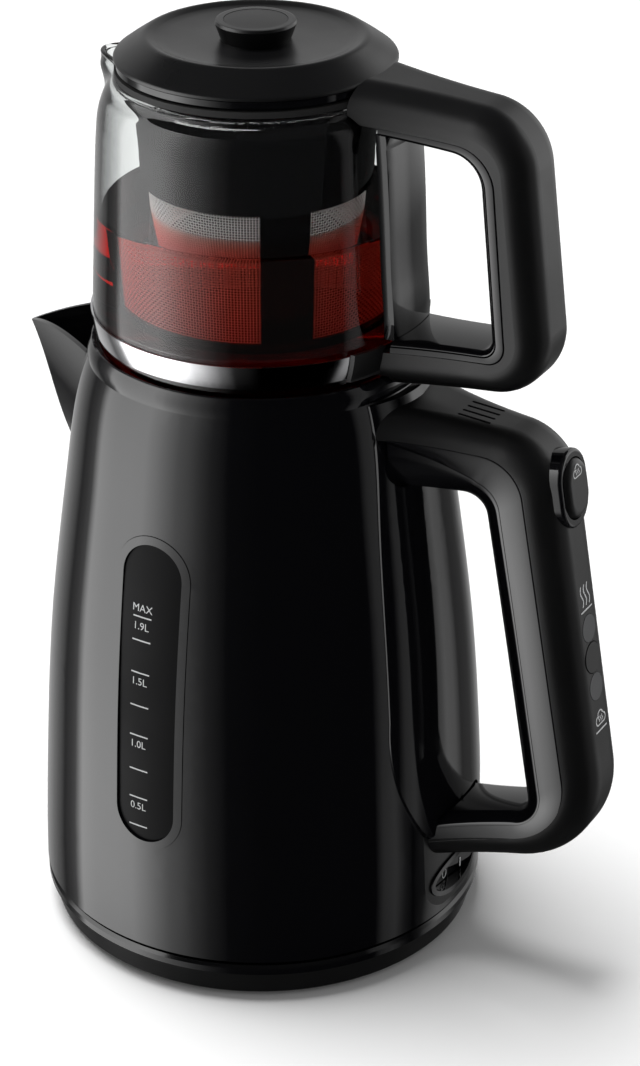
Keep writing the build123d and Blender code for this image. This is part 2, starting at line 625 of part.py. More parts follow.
DIFFUSER_BOTTOM = CABLE_RIB_TOP + PLATE_DISH - DIFFUSER_THICK
with BuildPart() as diffuser:
    with BuildSketch(Plane.XY.offset(DIFFUSER_BOTTOM)):
        Circle(DIFFUSER_RADIUS)
    extrude(amount=DIFFUSER_THICK)
diffuser.part.label = "diffuser"


def ring_element(ring_radius, tube_radius):
    """Tubular heater bent round most of a circle, its two ends turned down."""
    height = DIFFUSER_BOTTOM - tube_radius
    with BuildPart() as element:
        with BuildLine() as path:
            CenterArc((0, 0, height), ring_radius, 200, 320)
        with BuildSketch(Plane(origin=path.line @ 0, z_dir=path.line % 0)):
            Circle(tube_radius)
        sweep()
    return element.part


with BuildPart() as boil_element:
    add(ring_element(BOIL_RING, ELEMENT_TUBE))
boil_element.part.label = "boil_element"

with BuildPart() as warm_element:
    add(ring_element(WARM_RING, ELEMENT_TUBE * 0.7))
warm_element.part.label = "warm_element"

SOCKET_BOTTOM = BASE_TOP + 4.0
SOCKET_TOP = BASE_TOP + PLUG_HEIGHT + PIN_HEIGHT + SOCKET_ROOF
with BuildPart() as kettle_socket:
    with BuildSketch(Plane.XY.offset(SOCKET_BOTTOM)):
        Circle(SOCKET_RADIUS)
    extrude(amount=SOCKET_TOP - SOCKET_BOTTOM)
    with BuildSketch(Plane.XY.offset(SOCKET_BOTTOM)):
        Circle(PLUG_RADIUS + LOOSE_GAP)
    extrude(amount=BASE_TOP + PLUG_HEIGHT + REST_GAP - SOCKET_BOTTOM, mode=Mode.SUBTRACT)
    with BuildSketch(Plane.XY.offset(BASE_TOP + PLUG_HEIGHT)):
        Circle(PIN_RADIUS + LOOSE_GAP)
    extrude(amount=PIN_HEIGHT + LOOSE_GAP, mode=Mode.SUBTRACT)
kettle_socket.part.label = "kettle_socket"

with BuildPart() as controller:
    with BuildSketch(Plane.XY.offset(SOCKET_TOP + REST_GAP)):
        Circle(CONTROL_RADIUS)
    extrude(amount=DIFFUSER_BOTTOM - SOCKET_TOP - REST_GAP)
controller.part.label = "controller"

# ============================================================ kettle handle
HANDLE_WIDTHS = flared_prism(GRIP_HALF_WIDTH, FLARE_START, FLARE_END, FLARE_HALF_WIDTH, ROOT_X, 0, RIM_TOP)
HANDLE = handle_form(
    GRIP_OUTLINE, GRIP_RADII, GAP_OUTLINE, GAP_RADII, HANDLE_WIDTHS, GRIP_EDGE, LINER_EDGE, ROOT_X)
INSIDE_PARTING = side_prism(PARTING_OUTLINE, PARTING_RADII)
INSIDE_BAND = side_prism(BAND_OUTLINE, BAND_RADII)

GRIP_RUN = (GRIP_OUTLINE[2][0] - GRIP_OUTLINE[1][0], GRIP_OUTLINE[1][1] - GRIP_OUTLINE[2][1])
GRIP_SLOPE = GRIP_RUN[0] / GRIP_RUN[1]
GRIP_NORMAL = Vector(GRIP_RUN[1], 0, GRIP_RUN[0]).normalized()


def grip_plane(height, out=0.0):
    """Plane on the grip's outer face at a height, moved outwards by out."""
    x = GRIP_OUTLINE[1][0] + (GRIP_OUTLINE[1][1] - height) * GRIP_SLOPE
    return Plane(origin=Vector(x, 0, height) + GRIP_NORMAL * out, x_dir=(0, 1, 0), z_dir=GRIP_NORMAL)


PARTING_X = PARTING_OUTLINE[1][0] + (PARTING_OUTLINE[1][1] - KEEP_HEIGHT) * (
    (PARTING_OUTLINE[2][0] - PARTING_OUTLINE[1][0]) / (PARTING_OUTLINE[1][1] - PARTING_OUTLINE[2][1]))
GRIP_DEPTH = (grip_plane(KEEP_HEIGHT).origin - Vector(PARTING_X, 0, KEEP_HEIGHT)).dot(GRIP_NORMAL)

with BuildPart() as handle_grip:
    add(HANDLE)
    add(INSIDE_PARTING, mode=Mode.SUBTRACT)
    add(BODY_SPACE, mode=Mode.SUBTRACT)
    with BuildSketch(grip_plane(KEEP_HEIGHT + 16, -GRIP_WALL)):
        RectangleRounded(2 * (GRIP_HALF_WIDTH - GRIP_WALL - 3.5), GRIP_POCKET, 4)
    extrude(amount=-2 * GRIP_DEPTH, mode=Mode.SUBTRACT)
    with BuildSketch(grip_plane(BUTTON_HEIGHT, 3)):
        SlotOverall(COLLAR_LENGTH - 4, COLLAR_WIDTH - 4, rotation=90)
    extrude(amount=-(3 + BUTTON_SKIRT + BUTTON_TRAVEL + LOOSE_GAP), mode=Mode.SUBTRACT)
    with BuildSketch(grip_plane(KEEP_HEIGHT, 3)):
        Circle(KEEP_RADIUS + SLIDE_GAP)
        with Locations((0, LAMP_PITCH), (0, -LAMP_PITCH)):
            Circle(LAMP_RADIUS + FIT)
    extrude(amount=-GRIP_WALL - 4, mode=Mode.SUBTRACT)
    with BuildSketch(Plane.XY.offset(RIM_TOP)):
        with Locations(((VENT_START + VENT_END) / 2, 0)):
            with GridLocations(1, VENT_PITCH, 1, VENT_COUNT):
                SlotOverall(VENT_END - VENT_START, VENT_WIDTH)
    vent_top = GRIP_OUTLINE[0][1] + (GRIP_OUTLINE[1][1] - GRIP_OUTLINE[0][1]) * (
        (VENT_START - ROOT_X) / (GRIP_OUTLINE[1][0] - ROOT_X))
    extrude(amount=-(RIM_TOP - vent_top + VENT_DEPTH), mode=Mode.SUBTRACT)
handle_grip.part.label = "handle_grip"

with BuildPart() as handle_band:
    add(HANDLE)
    add(INSIDE_PARTING, mode=Mode.INTERSECT)
    add(INSIDE_BAND, mode=Mode.SUBTRACT)
    add(BODY_SPACE, mode=Mode.SUBTRACT)
handle_band.part.label = "handle_band"

with BuildPart() as handle_liner:
    add(HANDLE)
    add(INSIDE_BAND, mode=Mode.INTERSECT)
    add(BODY_SPACE, mode=Mode.SUBTRACT)
handle_liner.part.label = "handle_liner"

MOUNT_EDGE = [
    (24.6, SHOULDER_HEIGHT - 0.4), (30.8, SHOULDER_HEIGHT - 56.6), (34.9, BODY_BOTTOM + 92.3), (32.0, BODY_BOTTOM + 59.9),
    (21.4, PANEL_TOP)]
MOUNT_WINDOW = [
    (15.9, SHOULDER_HEIGHT - 30.1), (19.0, BODY_BOTTOM + 120.9), (21.0, BODY_BOTTOM + 88.5), (14.5, BODY_BOTTOM + 67.9),
    (0.0, BODY_BOTTOM + 52.7)]
with BuildPart() as handle_mount:
    add(Pos(MOUNT_SHIFT, 0, 0) * body_solid(-MOUNT_TIGHTER))
    with BuildSketch(Plane.YZ):
        with BuildLine():
            upper = ThreePointArc(*MOUNT_EDGE[:3])
            lower = ThreePointArc(*MOUNT_EDGE[2:])
            Line(lower @ 1, (0, PANEL_TOP))
            Line((0, PANEL_TOP), (0, MOUNT_EDGE[0][1]))
            Line((0, MOUNT_EDGE[0][1]), upper @ 0)
        make_face()
        mirror(about=Plane.YZ)
        with BuildLine():
            flank = ThreePointArc(*MOUNT_WINDOW[:3])
            sill = ThreePointArc(*MOUNT_WINDOW[2:])
            Line(sill @ 1, (0, MOUNT_WINDOW[0][1]))
            Line((0, MOUNT_WINDOW[0][1]), flank @ 0)
        make_face(mode=Mode.SUBTRACT)
        mirror(about=Plane.YZ)
    extrude(amount=120, mode=Mode.INTERSECT)
    add(BODY_SPACE, mode=Mode.SUBTRACT)
    add(HANDLE, mode=Mode.SUBTRACT)
handle_mount.part.label = "handle_mount"

# --------------------------------------------------------- controls in the grip
with BuildPart() as button_collar:
    with BuildSketch(grip_plane(BUTTON_HEIGHT, COLLAR_PROUD)):
        SlotOverall(COLLAR_LENGTH, COLLAR_WIDTH, rotation=90)
    extrude(amount=-COLLAR_PROUD - COLLAR_DEPTH)
    fillet(button_collar.faces().sort_by(Axis.X)[-1].edges(), COLLAR_ROUND)
    add(handle_grip.part, mode=Mode.SUBTRACT)
    with BuildSketch(grip_plane(BUTTON_HEIGHT, COLLAR_PROUD)):
        SlotOverall(BUTTON_LENGTH + 2 * SLIDE_GAP, BUTTON_WIDTH + 2 * SLIDE_GAP, rotation=90)
    extrude(amount=-COLLAR_PROUD - COLLAR_DEPTH - 2, mode=Mode.SUBTRACT)
button_collar.part.label = "button_collar"

with BuildPart() as boil_button:
    with BuildSketch(grip_plane(BUTTON_HEIGHT, BUTTON_PROUD)):
        SlotOverall(BUTTON_LENGTH, BUTTON_WIDTH, rotation=90)
    extrude(amount=-BUTTON_PROUD - BUTTON_SKIRT)
    fillet(boil_button.faces().sort_by(Axis.X)[-1].edges(), BUTTON_ROUND)
boil_button.part.label = "boil_button"

with BuildPart() as keep_warm_button:
    with BuildSketch(grip_plane(KEEP_HEIGHT, 0.2)):
        Circle(KEEP_RADIUS)
    extrude(amount=-3.6)
    with BuildSketch(grip_plane(KEEP_HEIGHT, -3.4)):
        Circle(2.0)
    extrude(amount=-(GRIP_DEPTH - BOARD_THICK - KEEP_TRAVEL - 3.4 - REST_GAP))
keep_warm_button.part.label = "keep_warm_button"

with BuildPart() as lamp_lenses:
    with BuildSketch(grip_plane(KEEP_HEIGHT, 0.1)):
        with Locations((0, LAMP_PITCH), (0, -LAMP_PITCH)):
            Circle(LAMP_RADIUS)
    extrude(amount=-(GRIP_DEPTH - BOARD_THICK - REST_GAP + 0.1))
lamp_lenses.part.label = "lamp_lenses"

with BuildPart() as circuit_board:
    with BuildSketch(grip_plane(KEEP_HEIGHT, -GRIP_DEPTH + BOARD_THICK)):
        RectangleRounded(BOARD_WIDTH, BOARD_LENGTH, 1)
    extrude(amount=-BOARD_THICK)
    add(INSIDE_PARTING, mode=Mode.SUBTRACT)
circuit_board.part.label = "circuit_board"

# ============================================================ 0/I switch
with BuildPart() as switch_panel:
    add(PANEL_RECESS)
    add(BODY_FORM, mode=Mode.INTERSECT)
    with BuildSketch(Plane.YZ.offset(60)):
        with Locations((0, SWITCH_HEIGHT)):
            Ellipse(SWITCH_LENGTH / 2 + FIT, SWITCH_WIDTH / 2 + FIT)
    extrude(amount=40, mode=Mode.SUBTRACT)
switch_panel.part.label = "switch_panel"

ROCKER_X = BODY_PROFILE[0][0] - 4.4
ROCKER_PIN_X = ROCKER_X - 0.8
BEZEL_DEPTH = 6.0
with BuildPart() as switch_bezel:
    add(body_solid(SWITCH_PROUD))
    add(body_solid(-BEZEL_DEPTH), mode=Mode.SUBTRACT)
    with BuildSketch(Plane.YZ.offset(60)):
        with Locations((0, SWITCH_HEIGHT)):
            Ellipse(SWITCH_LENGTH / 2, SWITCH_WIDTH / 2)
            Ellipse(SWITCH_LENGTH / 2 - SWITCH_RIM, SWITCH_WIDTH / 2 - SWITCH_RIM, mode=Mode.SUBTRACT)
    extrude(amount=60, mode=Mode.INTERSECT)
    with BuildSketch(Plane.XY.offset(SWITCH_HEIGHT)):
        with Locations((ROCKER_PIN_X, 0)):
            Circle(ROCKER_PIN_RADIUS + PIN_FIT)
    extrude(amount=SWITCH_WIDTH / 2 - SWITCH_RIM + 1.2, both=True, mode=Mode.SUBTRACT)
switch_bezel.part.label = "switch_bezel"

ROCKER_DIP = ROCKER_LENGTH / 2 * sin(radians(ROCKER_TILT))
with BuildPart() as rocker_level:
    with BuildSketch(Plane.XY.offset(SWITCH_HEIGHT)):
        with BuildLine():
            Polyline(
                (ROCKER_X, 0), (ROCKER_X + ROCKER_DIP, ROCKER_LENGTH / 2), (ROCKER_X - ROCKER_THICK, ROCKER_LENGTH / 2),
                (ROCKER_X - ROCKER_THICK, -ROCKER_LENGTH / 2), (ROCKER_X + ROCKER_DIP, -ROCKER_LENGTH / 2), close=True,
            )
        make_face()
    extrude(amount=ROCKER_WIDTH / 2, both=True)
    with BuildSketch(Plane.YZ.offset(60)):
        with Locations((0, SWITCH_HEIGHT)):
            Ellipse(ROCKER_LENGTH / 2, ROCKER_WIDTH / 2)
    extrude(amount=60, mode=Mode.INTERSECT)
    with BuildSketch(Plane.XY.offset(SWITCH_HEIGHT)):
        with Locations((ROCKER_PIN_X, 0)):
            Circle(ROCKER_PIN_RADIUS)
    extrude(amount=SWITCH_WIDTH / 2 - SWITCH_RIM + 1.0, both=True)

with BuildPart() as rocker:
    add(Pos(ROCKER_PIN_X, 0, 0) * Rot(0, 0, -ROCKER_TILT) * Pos(-ROCKER_PIN_X, 0, 0) * rocker_level.part)
rocker.part.label = "rocker"

with BuildPart() as switch_body:
    with BuildSketch(Plane.YZ.offset(SWITCH_BODY_START)):
        with Locations((0, SWITCH_HEIGHT)):
            Ellipse(SWITCH_LENGTH / 2, SWITCH_WIDTH / 2)
    extrude(amount=30)
    add(body_solid(-BEZEL_DEPTH), mode=Mode.INTERSECT)
    with BuildSketch(Plane.YZ.offset(SWITCH_TUB_FLOOR)):
        with Locations((0, SWITCH_HEIGHT)):
            Ellipse(SWITCH_LENGTH / 2 - SWITCH_RIM, SWITCH_WIDTH / 2 - SWITCH_RIM)
    extrude(amount=30, mode=Mode.SUBTRACT)
    with BuildSketch(Plane.XY.offset(SWITCH_HEIGHT)):
        with Locations((ROCKER_PIN_X, 0)):
            Circle(ROCKER_PIN_RADIUS + PIN_FIT)
    extrude(amount=SWITCH_WIDTH / 2 - SWITCH_RIM + 1.2, both=True, mode=Mode.SUBTRACT)
switch_body.part.label = "switch_body"

# ==================================================================== teapot
def glass_wall_line(offset):
    """Outer line of the jug from foot to shoulder, moved inwards by offset."""
    points = [(BAND_BOTTOM_RADIUS - offset, BAND_BOTTOM)] + [(r - offset, z) for r, z in GLASS_PROFILE]
    return points


def jug_solid(offset, bottom):
    """The jug as a filled form, moved inwards by offset, its foot at bottom."""
    with BuildPart() as solid:
        with BuildSketch(Plane.XZ):
            with BuildLine():
                wall = Spline(*glass_wall_line(offset))
                foot = ThreePointArc(
                    (GLASS_FOOT_RADIUS - offset, bottom),
                    (BAND_BOTTOM_RADIUS - 1.6 - offset, bottom + 4.0), wall @ 0)
                shoulder = ThreePointArc(
                    wall @ 1, (NECK_RADIUS + 4.6 - offset, NECK_HEIGHT - 7.0), (NECK_RADIUS - offset, NECK_HEIGHT - 2.2))
                Polyline(shoulder @ 1, (NECK_RADIUS - offset, NECK_HEIGHT), (0, NECK_HEIGHT), (0, bottom), foot @ 0)
            make_face()
        revolve(axis=Axis.Z)
    return solid.part


def pour_lip(shrink):
    """Cone that opens out of the neck towards the pour lip."""
    lean = 52.0
    root = Plane(origin=(LIP_ROOT, 0, LIP_ROOT_HEIGHT), z_dir=(-sin(radians(lean)), 0, cos(radians(lean))))
    tip = Plane(
        origin=(LIP_TIP + LIP_TIP_RADIUS, 0, NECK_HEIGHT - 0.4), z_dir=(-sin(radians(lean + 12)), 0, cos(radians(lean + 12))))
    with BuildPart() as cone:
        with BuildSketch(root):
            Circle(LIP_ROOT_RADIUS - shrink)
        with BuildSketch(tip):
            Circle(LIP_TIP_RADIUS - shrink * 0.8)
        loft()
    return cone.part


FOOT_BOTTOM = POT_SEAT + REST_GAP
ABOVE_NECK = Pos(0, 0, NECK_HEIGHT + 20) * Box(200, 200, 40)
with BuildPart() as glass_jug:
    add(jug_solid(0, FOOT_BOTTOM))
    add(pour_lip(0))
    add(jug_solid(GLASS_WALL, FOOT_BOTTOM + GLASS_WALL + 1.0), mode=Mode.SUBTRACT)
    add(pour_lip(GLASS_WALL), mode=Mode.SUBTRACT)
    add(ABOVE_NECK, mode=Mode.SUBTRACT)
glass_jug.part.label = "glass_jug"


def jug_ring(inner, outer, bottom, top):
    """Ring that hugs the jug between two heights, from inner to outer off the glass."""
    with BuildPart() as ring:
        add(jug_solid(-outer, FOOT_BOTTOM))
        add(jug_solid(-inner, FOOT_BOTTOM), mode=Mode.SUBTRACT)
        with BuildSketch(Plane.XY.offset(bottom)):
            Circle(2 * BAND_TOP_RADIUS)
        extrude(amount=top - bottom, mode=Mode.INTERSECT)
    return ring.part


with BuildPart() as jug_band:
    add(jug_ring(0.05, BAND_THICK, BAND_BOTTOM, BAND_TOP))
jug_band.part.label = "jug_band"

POT_WIDTHS = flared_prism(
    POT_GRIP_HALF_WIDTH, POT_FLARE_START, POT_FLARE_END, POT_FLARE_HALF_WIDTH, POT_ROOT_X, STEP_HEIGHT,
    NECK_HEIGHT + 20)
POT_HANDLE = handle_form(
    POT_GRIP_OUTLINE, POT_GRIP_RADII, POT_GAP_OUTLINE, POT_GAP_RADII, POT_WIDTHS, POT_GRIP_EDGE, POT_LINER_EDGE,
    POT_ROOT_X)
POT_INSIDE_PARTING = side_prism(POT_PARTING_OUTLINE, POT_PARTING_RADII)
POT_INSIDE_BAND = side_prism(POT_BAND_OUTLINE, POT_BAND_RADII)

with BuildPart() as jug_space:
    add(jug_solid(-0.1, FOOT_BOTTOM))
    add(jug_solid(-BAND_THICK - 0.1, FOOT_BOTTOM) & Pos(0, 0, (BAND_TOP + BAND_BOTTOM) / 2) * Box(
        200, 200, BAND_TOP - BAND_BOTTOM + 0.2))
    with BuildSketch(Plane.XY.offset(NECK_HEIGHT - 1.2)):
        Circle(LID_RADIUS + SLIDE_GAP + 0.1)
    extrude(amount=LID_DISH_TOP + 5 - NECK_HEIGHT)
    with BuildSketch(Plane.XY.offset(FOOT_BOTTOM - 4)):
        Circle(SHOULDER_RADIUS + RIM_RELIEF)
    extrude(amount=RIM_TOP + RIM_RELIEF - FOOT_BOTTOM + 4)
JUG_SPACE = jug_space.part
with BuildPart() as pot_grip:
    add(POT_HANDLE)
    add(POT_INSIDE_PARTING, mode=Mode.SUBTRACT)
    add(JUG_SPACE, mode=Mode.SUBTRACT)
pot_grip.part.label = "pot_grip"

with BuildPart() as pot_band:
    add(POT_HANDLE)
    add(POT_INSIDE_PARTING, mode=Mode.INTERSECT)
    add(POT_INSIDE_BAND, mode=Mode.SUBTRACT)
    add(JUG_SPACE, mode=Mode.SUBTRACT)
pot_band.part.label = "pot_band"

with BuildPart() as pot_liner:
    add(POT_HANDLE)
    add(POT_INSIDE_BAND, mode=Mode.INTERSECT)
    add(JUG_SPACE, mode=Mode.SUBTRACT)
pot_liner.part.label = "pot_liner"

with BuildPart() as pot_strap:
    add(jug_solid(-STRAP_PROUD, FOOT_BOTTOM))
    with BuildSketch(Plane.XY.offset(POT_GAP_OUTLINE[-1][1] - 2)):
        with Locations((POT_ROOT_X + 30, 0)):
            Rectangle(60, 2 * STRAP_HALF_WIDTH)
    extrude(amount=POT_GAP_OUTLINE[0][1] - POT_GAP_OUTLINE[-1][1] + 4, mode=Mode.INTERSECT)
    add(JUG_SPACE, mode=Mode.SUBTRACT)
    add(POT_HANDLE, mode=Mode.SUBTRACT)
pot_strap.part.label = "pot_strap"

with BuildPart() as band_clamp:
    add(jug_ring(BAND_THICK + 0.1, BAND_THICK + CLAMP_PROUD, BAND_BOTTOM - 0.8, BAND_TOP + 0.8))
    with BuildSketch(Plane.YZ):
        with Locations((0, (BAND_TOP + BAND_BOTTOM) / 2)):
            Rectangle(2 * BAND_TOP_RADIUS * sin(radians(CLAMP_HALF_ANGLE)), 20)
    extrude(amount=80, mode=Mode.INTERSECT)
    add(POT_HANDLE, mode=Mode.SUBTRACT)
    add(pot_strap.part, mode=Mode.SUBTRACT)
band_clamp.part.label = "band_clamp"

# =============================================================== strainer
with BuildPart() as strainer_frame:
    with BuildSketch(Plane.XZ):
        with BuildLine():
            outer = Spline(*TUBE_PROFILE)
            Polyline(
                outer @ 1, (TUBE_PROFILE[-1][0], TUBE_BOTTOM), (0, TUBE_BOTTOM), (0, TUBE_BOTTOM + TUBE_WALL),
                (TUBE_PROFILE[-1][0] - TUBE_WALL, TUBE_BOTTOM + TUBE_WALL),
                (TUBE_PROFILE[-1][0] - TUBE_WALL + 0.1, TUBE_PROFILE[-1][1] + TUBE_WALL),
                (TUBE_PROFILE[2][0] - TUBE_WALL, TUBE_PROFILE[2][1]), (TUBE_PROFILE[1][0] - TUBE_WALL, TUBE_PROFILE[1][1]),
                (COLLAR_BORE, NECK_HEIGHT), (COLLAR_BORE, COLLAR_TOP), (COLLAR_RADIUS, COLLAR_TOP),
                (COLLAR_RADIUS, NECK_HEIGHT + GASKET_HEIGHT + 1.2), (COLLAR_RADIUS - 1.0, NECK_HEIGHT + GASKET_HEIGHT),
                (TUBE_PROFILE[0][0], NECK_HEIGHT + GASKET_HEIGHT), outer @ 0,
            )
        make_face()
    revolve(axis=Axis.Z)
    for k in range(GRILLE_COUNT):
        middle = 360 / GRILLE_COUNT * k
        direction = (cos(radians(middle)), sin(radians(middle)), 0)
        with BuildSketch(Plane(origin=(0, 0, (GRILLE_TOP + GRILLE_BOTTOM) / 2), z_dir=direction).offset(20)):
            RectangleRounded(
                GRILLE_TOP - GRILLE_BOTTOM, 2 * TUBE_PROFILE[2][0] * sin(radians(GRILLE_ANGLE / 2)), GRILLE_CORNER)
        extrude(amount=40, mode=Mode.SUBTRACT)
strainer_frame.part.label = "strainer_frame"

with BuildPart() as strainer_mesh:
    with BuildSketch(Plane.XZ):
        with BuildLine():
            Polyline(
                (TUBE_PROFILE[-1][0] - TUBE_WALL - 0.1, TUBE_BOTTOM + TUBE_WALL + 0.1),
                (TUBE_PROFILE[2][0] - TUBE_WALL - 0.3, GRILLE_TOP + 4),
                (TUBE_PROFILE[2][0] - TUBE_WALL - 0.3 - MESH_THICK, GRILLE_TOP + 4),
                (TUBE_PROFILE[-1][0] - TUBE_WALL - 0.1 - MESH_THICK, TUBE_BOTTOM + TUBE_WALL + 0.1), close=True,
            )
        make_face()
    revolve(axis=Axis.Z)
strainer_mesh.part.label = "strainer_mesh"

with BuildPart() as strainer_gasket:
    with BuildSketch(Plane.XY.offset(NECK_HEIGHT + REST_GAP)):
        Circle(NECK_RADIUS - 0.6)
        Circle(TUBE_PROFILE[0][0] + 0.05, mode=Mode.SUBTRACT)
    extrude(amount=GASKET_HEIGHT - REST_GAP)
strainer_gasket.part.label = "strainer_gasket"

# ==================================================================== lid
LID_BOTTOM = COLLAR_TOP + REST_GAP
with BuildPart() as lid_shell:
    with BuildSketch(Plane.XZ):
        with BuildLine():
            edge = Line((LID_RADIUS - 0.8, LID_BOTTOM), (LID_RADIUS, LID_BOTTOM + 0.9))
            crown = ThreePointArc(edge @ 1, LID_CROWN, (LID_DISH_RADIUS, LID_DISH_TOP))
            dish = ThreePointArc(crown @ 1, (27.0, LID_CENTRE + 0.9), (KNOB_STEM, LID_CENTRE))
            under = Polyline(
                dish @ 1, (0, LID_CENTRE), (0, LID_CENTRE - LID_THICK), (27.0, LID_CENTRE - LID_THICK + 0.6),
                (LID_DISH_RADIUS, LID_DISH_TOP - LID_THICK - 1.4), (LID_RADIUS - 4.4, LID_BOTTOM + 1.6),
                (LID_RADIUS - 4.4, LID_BOTTOM), edge @ 0,
            )
        make_face()
    revolve(axis=Axis.Z)
lid_shell.part.label = "lid_shell"

with BuildPart() as lid_plug:
    with BuildSketch(Plane.XZ):
        with BuildLine():
            Polyline(
                (COLLAR_BORE - SLIDE_GAP, COLLAR_TOP - PLUG_RING_DEPTH), (COLLAR_BORE - SLIDE_GAP, LID_BOTTOM + 0.5),
                (LID_DISH_RADIUS, LID_DISH_TOP - LID_THICK - 4.4), (0, LID_CENTRE - LID_THICK - 3.0),
                (0, LID_CENTRE - LID_THICK - 4.6), (LID_DISH_RADIUS - 1.0, LID_DISH_TOP - LID_THICK - 6.2),
                (COLLAR_BORE - SLIDE_GAP - PLUG_RING_WALL, LID_BOTTOM - 0.4),
                (COLLAR_BORE - SLIDE_GAP - PLUG_RING_WALL, COLLAR_TOP - PLUG_RING_DEPTH), close=True,
            )
        make_face()
    revolve(axis=Axis.Z)
lid_plug.part.label = "lid_plug"

with BuildPart() as lid_knob:
    with BuildSketch(Plane.XZ):
        with BuildLine():
            Polyline(
                (0, LID_CENTRE + REST_GAP / 2), (KNOB_STEM, LID_CENTRE + REST_GAP / 2),
                (KNOB_RADIUS - 0.2, KNOB_TOP - 1.6), (KNOB_RADIUS, KNOB_TOP - 1.0), (KNOB_RADIUS - 0.5, KNOB_TOP - 0.1),
                (KNOB_RADIUS - 1.2, KNOB_TOP), (KNOB_CAP_RADIUS + FIT, KNOB_TOP), (KNOB_CAP_RADIUS + FIT, KNOB_TOP - 1.2),
                (0, KNOB_TOP - 1.2), close=True,
            )
        make_face()
    revolve(axis=Axis.Z)
lid_knob.part.label = "lid_knob"

with BuildPart() as knob_cap:
    with BuildSketch(Plane.XY.offset(KNOB_TOP - 1.2)):
        Circle(KNOB_CAP_RADIUS)
    extrude(amount=1.2 - 0.1)
knob_cap.part.label = "knob_cap"

# ================================================================== export
PIECES = [
    base_shell, base_deck, base_plug, base_feet, base_screws,
    kettle_shell, spout, mouth_ring, window_bezel, water_window,
    bottom_cover, cover_screws, heating_plate, plate_seal, diffuser, boil_element, warm_element,
    kettle_socket, controller,
    handle_grip, handle_band, handle_liner, handle_mount,
    button_collar, boil_button, keep_warm_button, lamp_lenses, circuit_board,
    switch_panel, switch_bezel, rocker, switch_body,
    glass_jug, jug_band, band_clamp, pot_grip, pot_band, pot_liner, pot_strap,
    strainer_frame, strainer_mesh, strainer_gasket,
    lid_shell, lid_plug, lid_knob, knob_cap,
]

os.makedirs("parts", exist_ok=True)
for piece in PIECES:
    export_step(piece.part, f"parts/{piece.part.label}.step")
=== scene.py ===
import json
import math

import bmesh
import bpy
import numpy as np
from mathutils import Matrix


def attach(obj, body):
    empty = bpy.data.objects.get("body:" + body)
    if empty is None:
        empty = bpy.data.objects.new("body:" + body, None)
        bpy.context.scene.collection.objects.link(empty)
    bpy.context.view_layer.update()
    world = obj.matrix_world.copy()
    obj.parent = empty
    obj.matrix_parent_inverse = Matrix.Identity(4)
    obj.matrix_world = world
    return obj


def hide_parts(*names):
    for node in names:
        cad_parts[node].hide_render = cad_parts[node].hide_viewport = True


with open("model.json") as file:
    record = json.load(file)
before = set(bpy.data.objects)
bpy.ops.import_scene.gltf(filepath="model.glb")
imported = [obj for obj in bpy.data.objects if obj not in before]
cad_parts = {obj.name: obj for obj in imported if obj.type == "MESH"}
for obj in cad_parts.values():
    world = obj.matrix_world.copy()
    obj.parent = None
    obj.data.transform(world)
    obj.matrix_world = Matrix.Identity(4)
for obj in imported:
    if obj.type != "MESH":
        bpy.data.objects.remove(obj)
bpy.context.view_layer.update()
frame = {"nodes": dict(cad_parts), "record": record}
NODES = frame["nodes"]
MM = 0.001


# ------------------------------------------------------------------ materials
def hex_linear(code):
    """sRGB hex colour to opaque linear RGBA."""
    s = np.array([int(code[i:i + 2], 16) for i in (1, 3, 5)]) / 255
    linear = np.where(s <= 0.04045, s / 12.92, ((s + 0.055) / 1.055) ** 2.4)
    return (*linear.tolist(), 1.0)


def put(tree, kind, settings=None, **inputs):
    """Adds a node, sets its properties, and sets or links its inputs.

    Inputs go by name with _ for a space, or by place as i0, i1 and so on."""
    n = tree.nodes.new(kind)
    for key, value in (settings or {}).items():
        setattr(n, key, value)
    for key, value in inputs.items():
        by_place = key[0] == "i" and key[1:].isdigit()
        socket = n.inputs[int(key[1:]) if by_place else key.replace("_", " ")]
        if isinstance(value, bpy.types.NodeSocket):
            tree.links.new(value, socket)
        else:
            socket.default_value = value
    return n


def material(name):
    """A new material with an empty node tree."""
    m = bpy.data.materials.new(name)
    m.use_nodes = True
    m.node_tree.nodes.clear()
    return m, m.node_tree


def close_material(tree, surface, volume=None):
    """Joins the surface, and the volume if there is one, to the output."""
    out = put(tree, "ShaderNodeOutputMaterial", Surface=surface)
    if volume is not None:
        tree.links.new(volume, out.inputs["Volume"])


SWELL_MM = 60.0         # length of the slow swell in a thick glossy moulding
PLASTIC_PATCH_MM = 30   # size of the patches over which a finish drifts
METAL_PATCH_MM = 20
SCRATCH_DEPTH_MM = 0.002


def drifting(tree, where, scale_mm, low, high):
    """A value that wanders between two ends over patches of a size."""
    drift = put(tree, "ShaderNodeTexNoise", Vector=where, Scale=1000 / scale_mm, Detail=3.0)
    return put(tree, "ShaderNodeMapRange", Value=drift.outputs["Fac"], From_Min=0.3, From_Max=0.7,
               To_Min=low, To_Max=high).outputs["Result"]


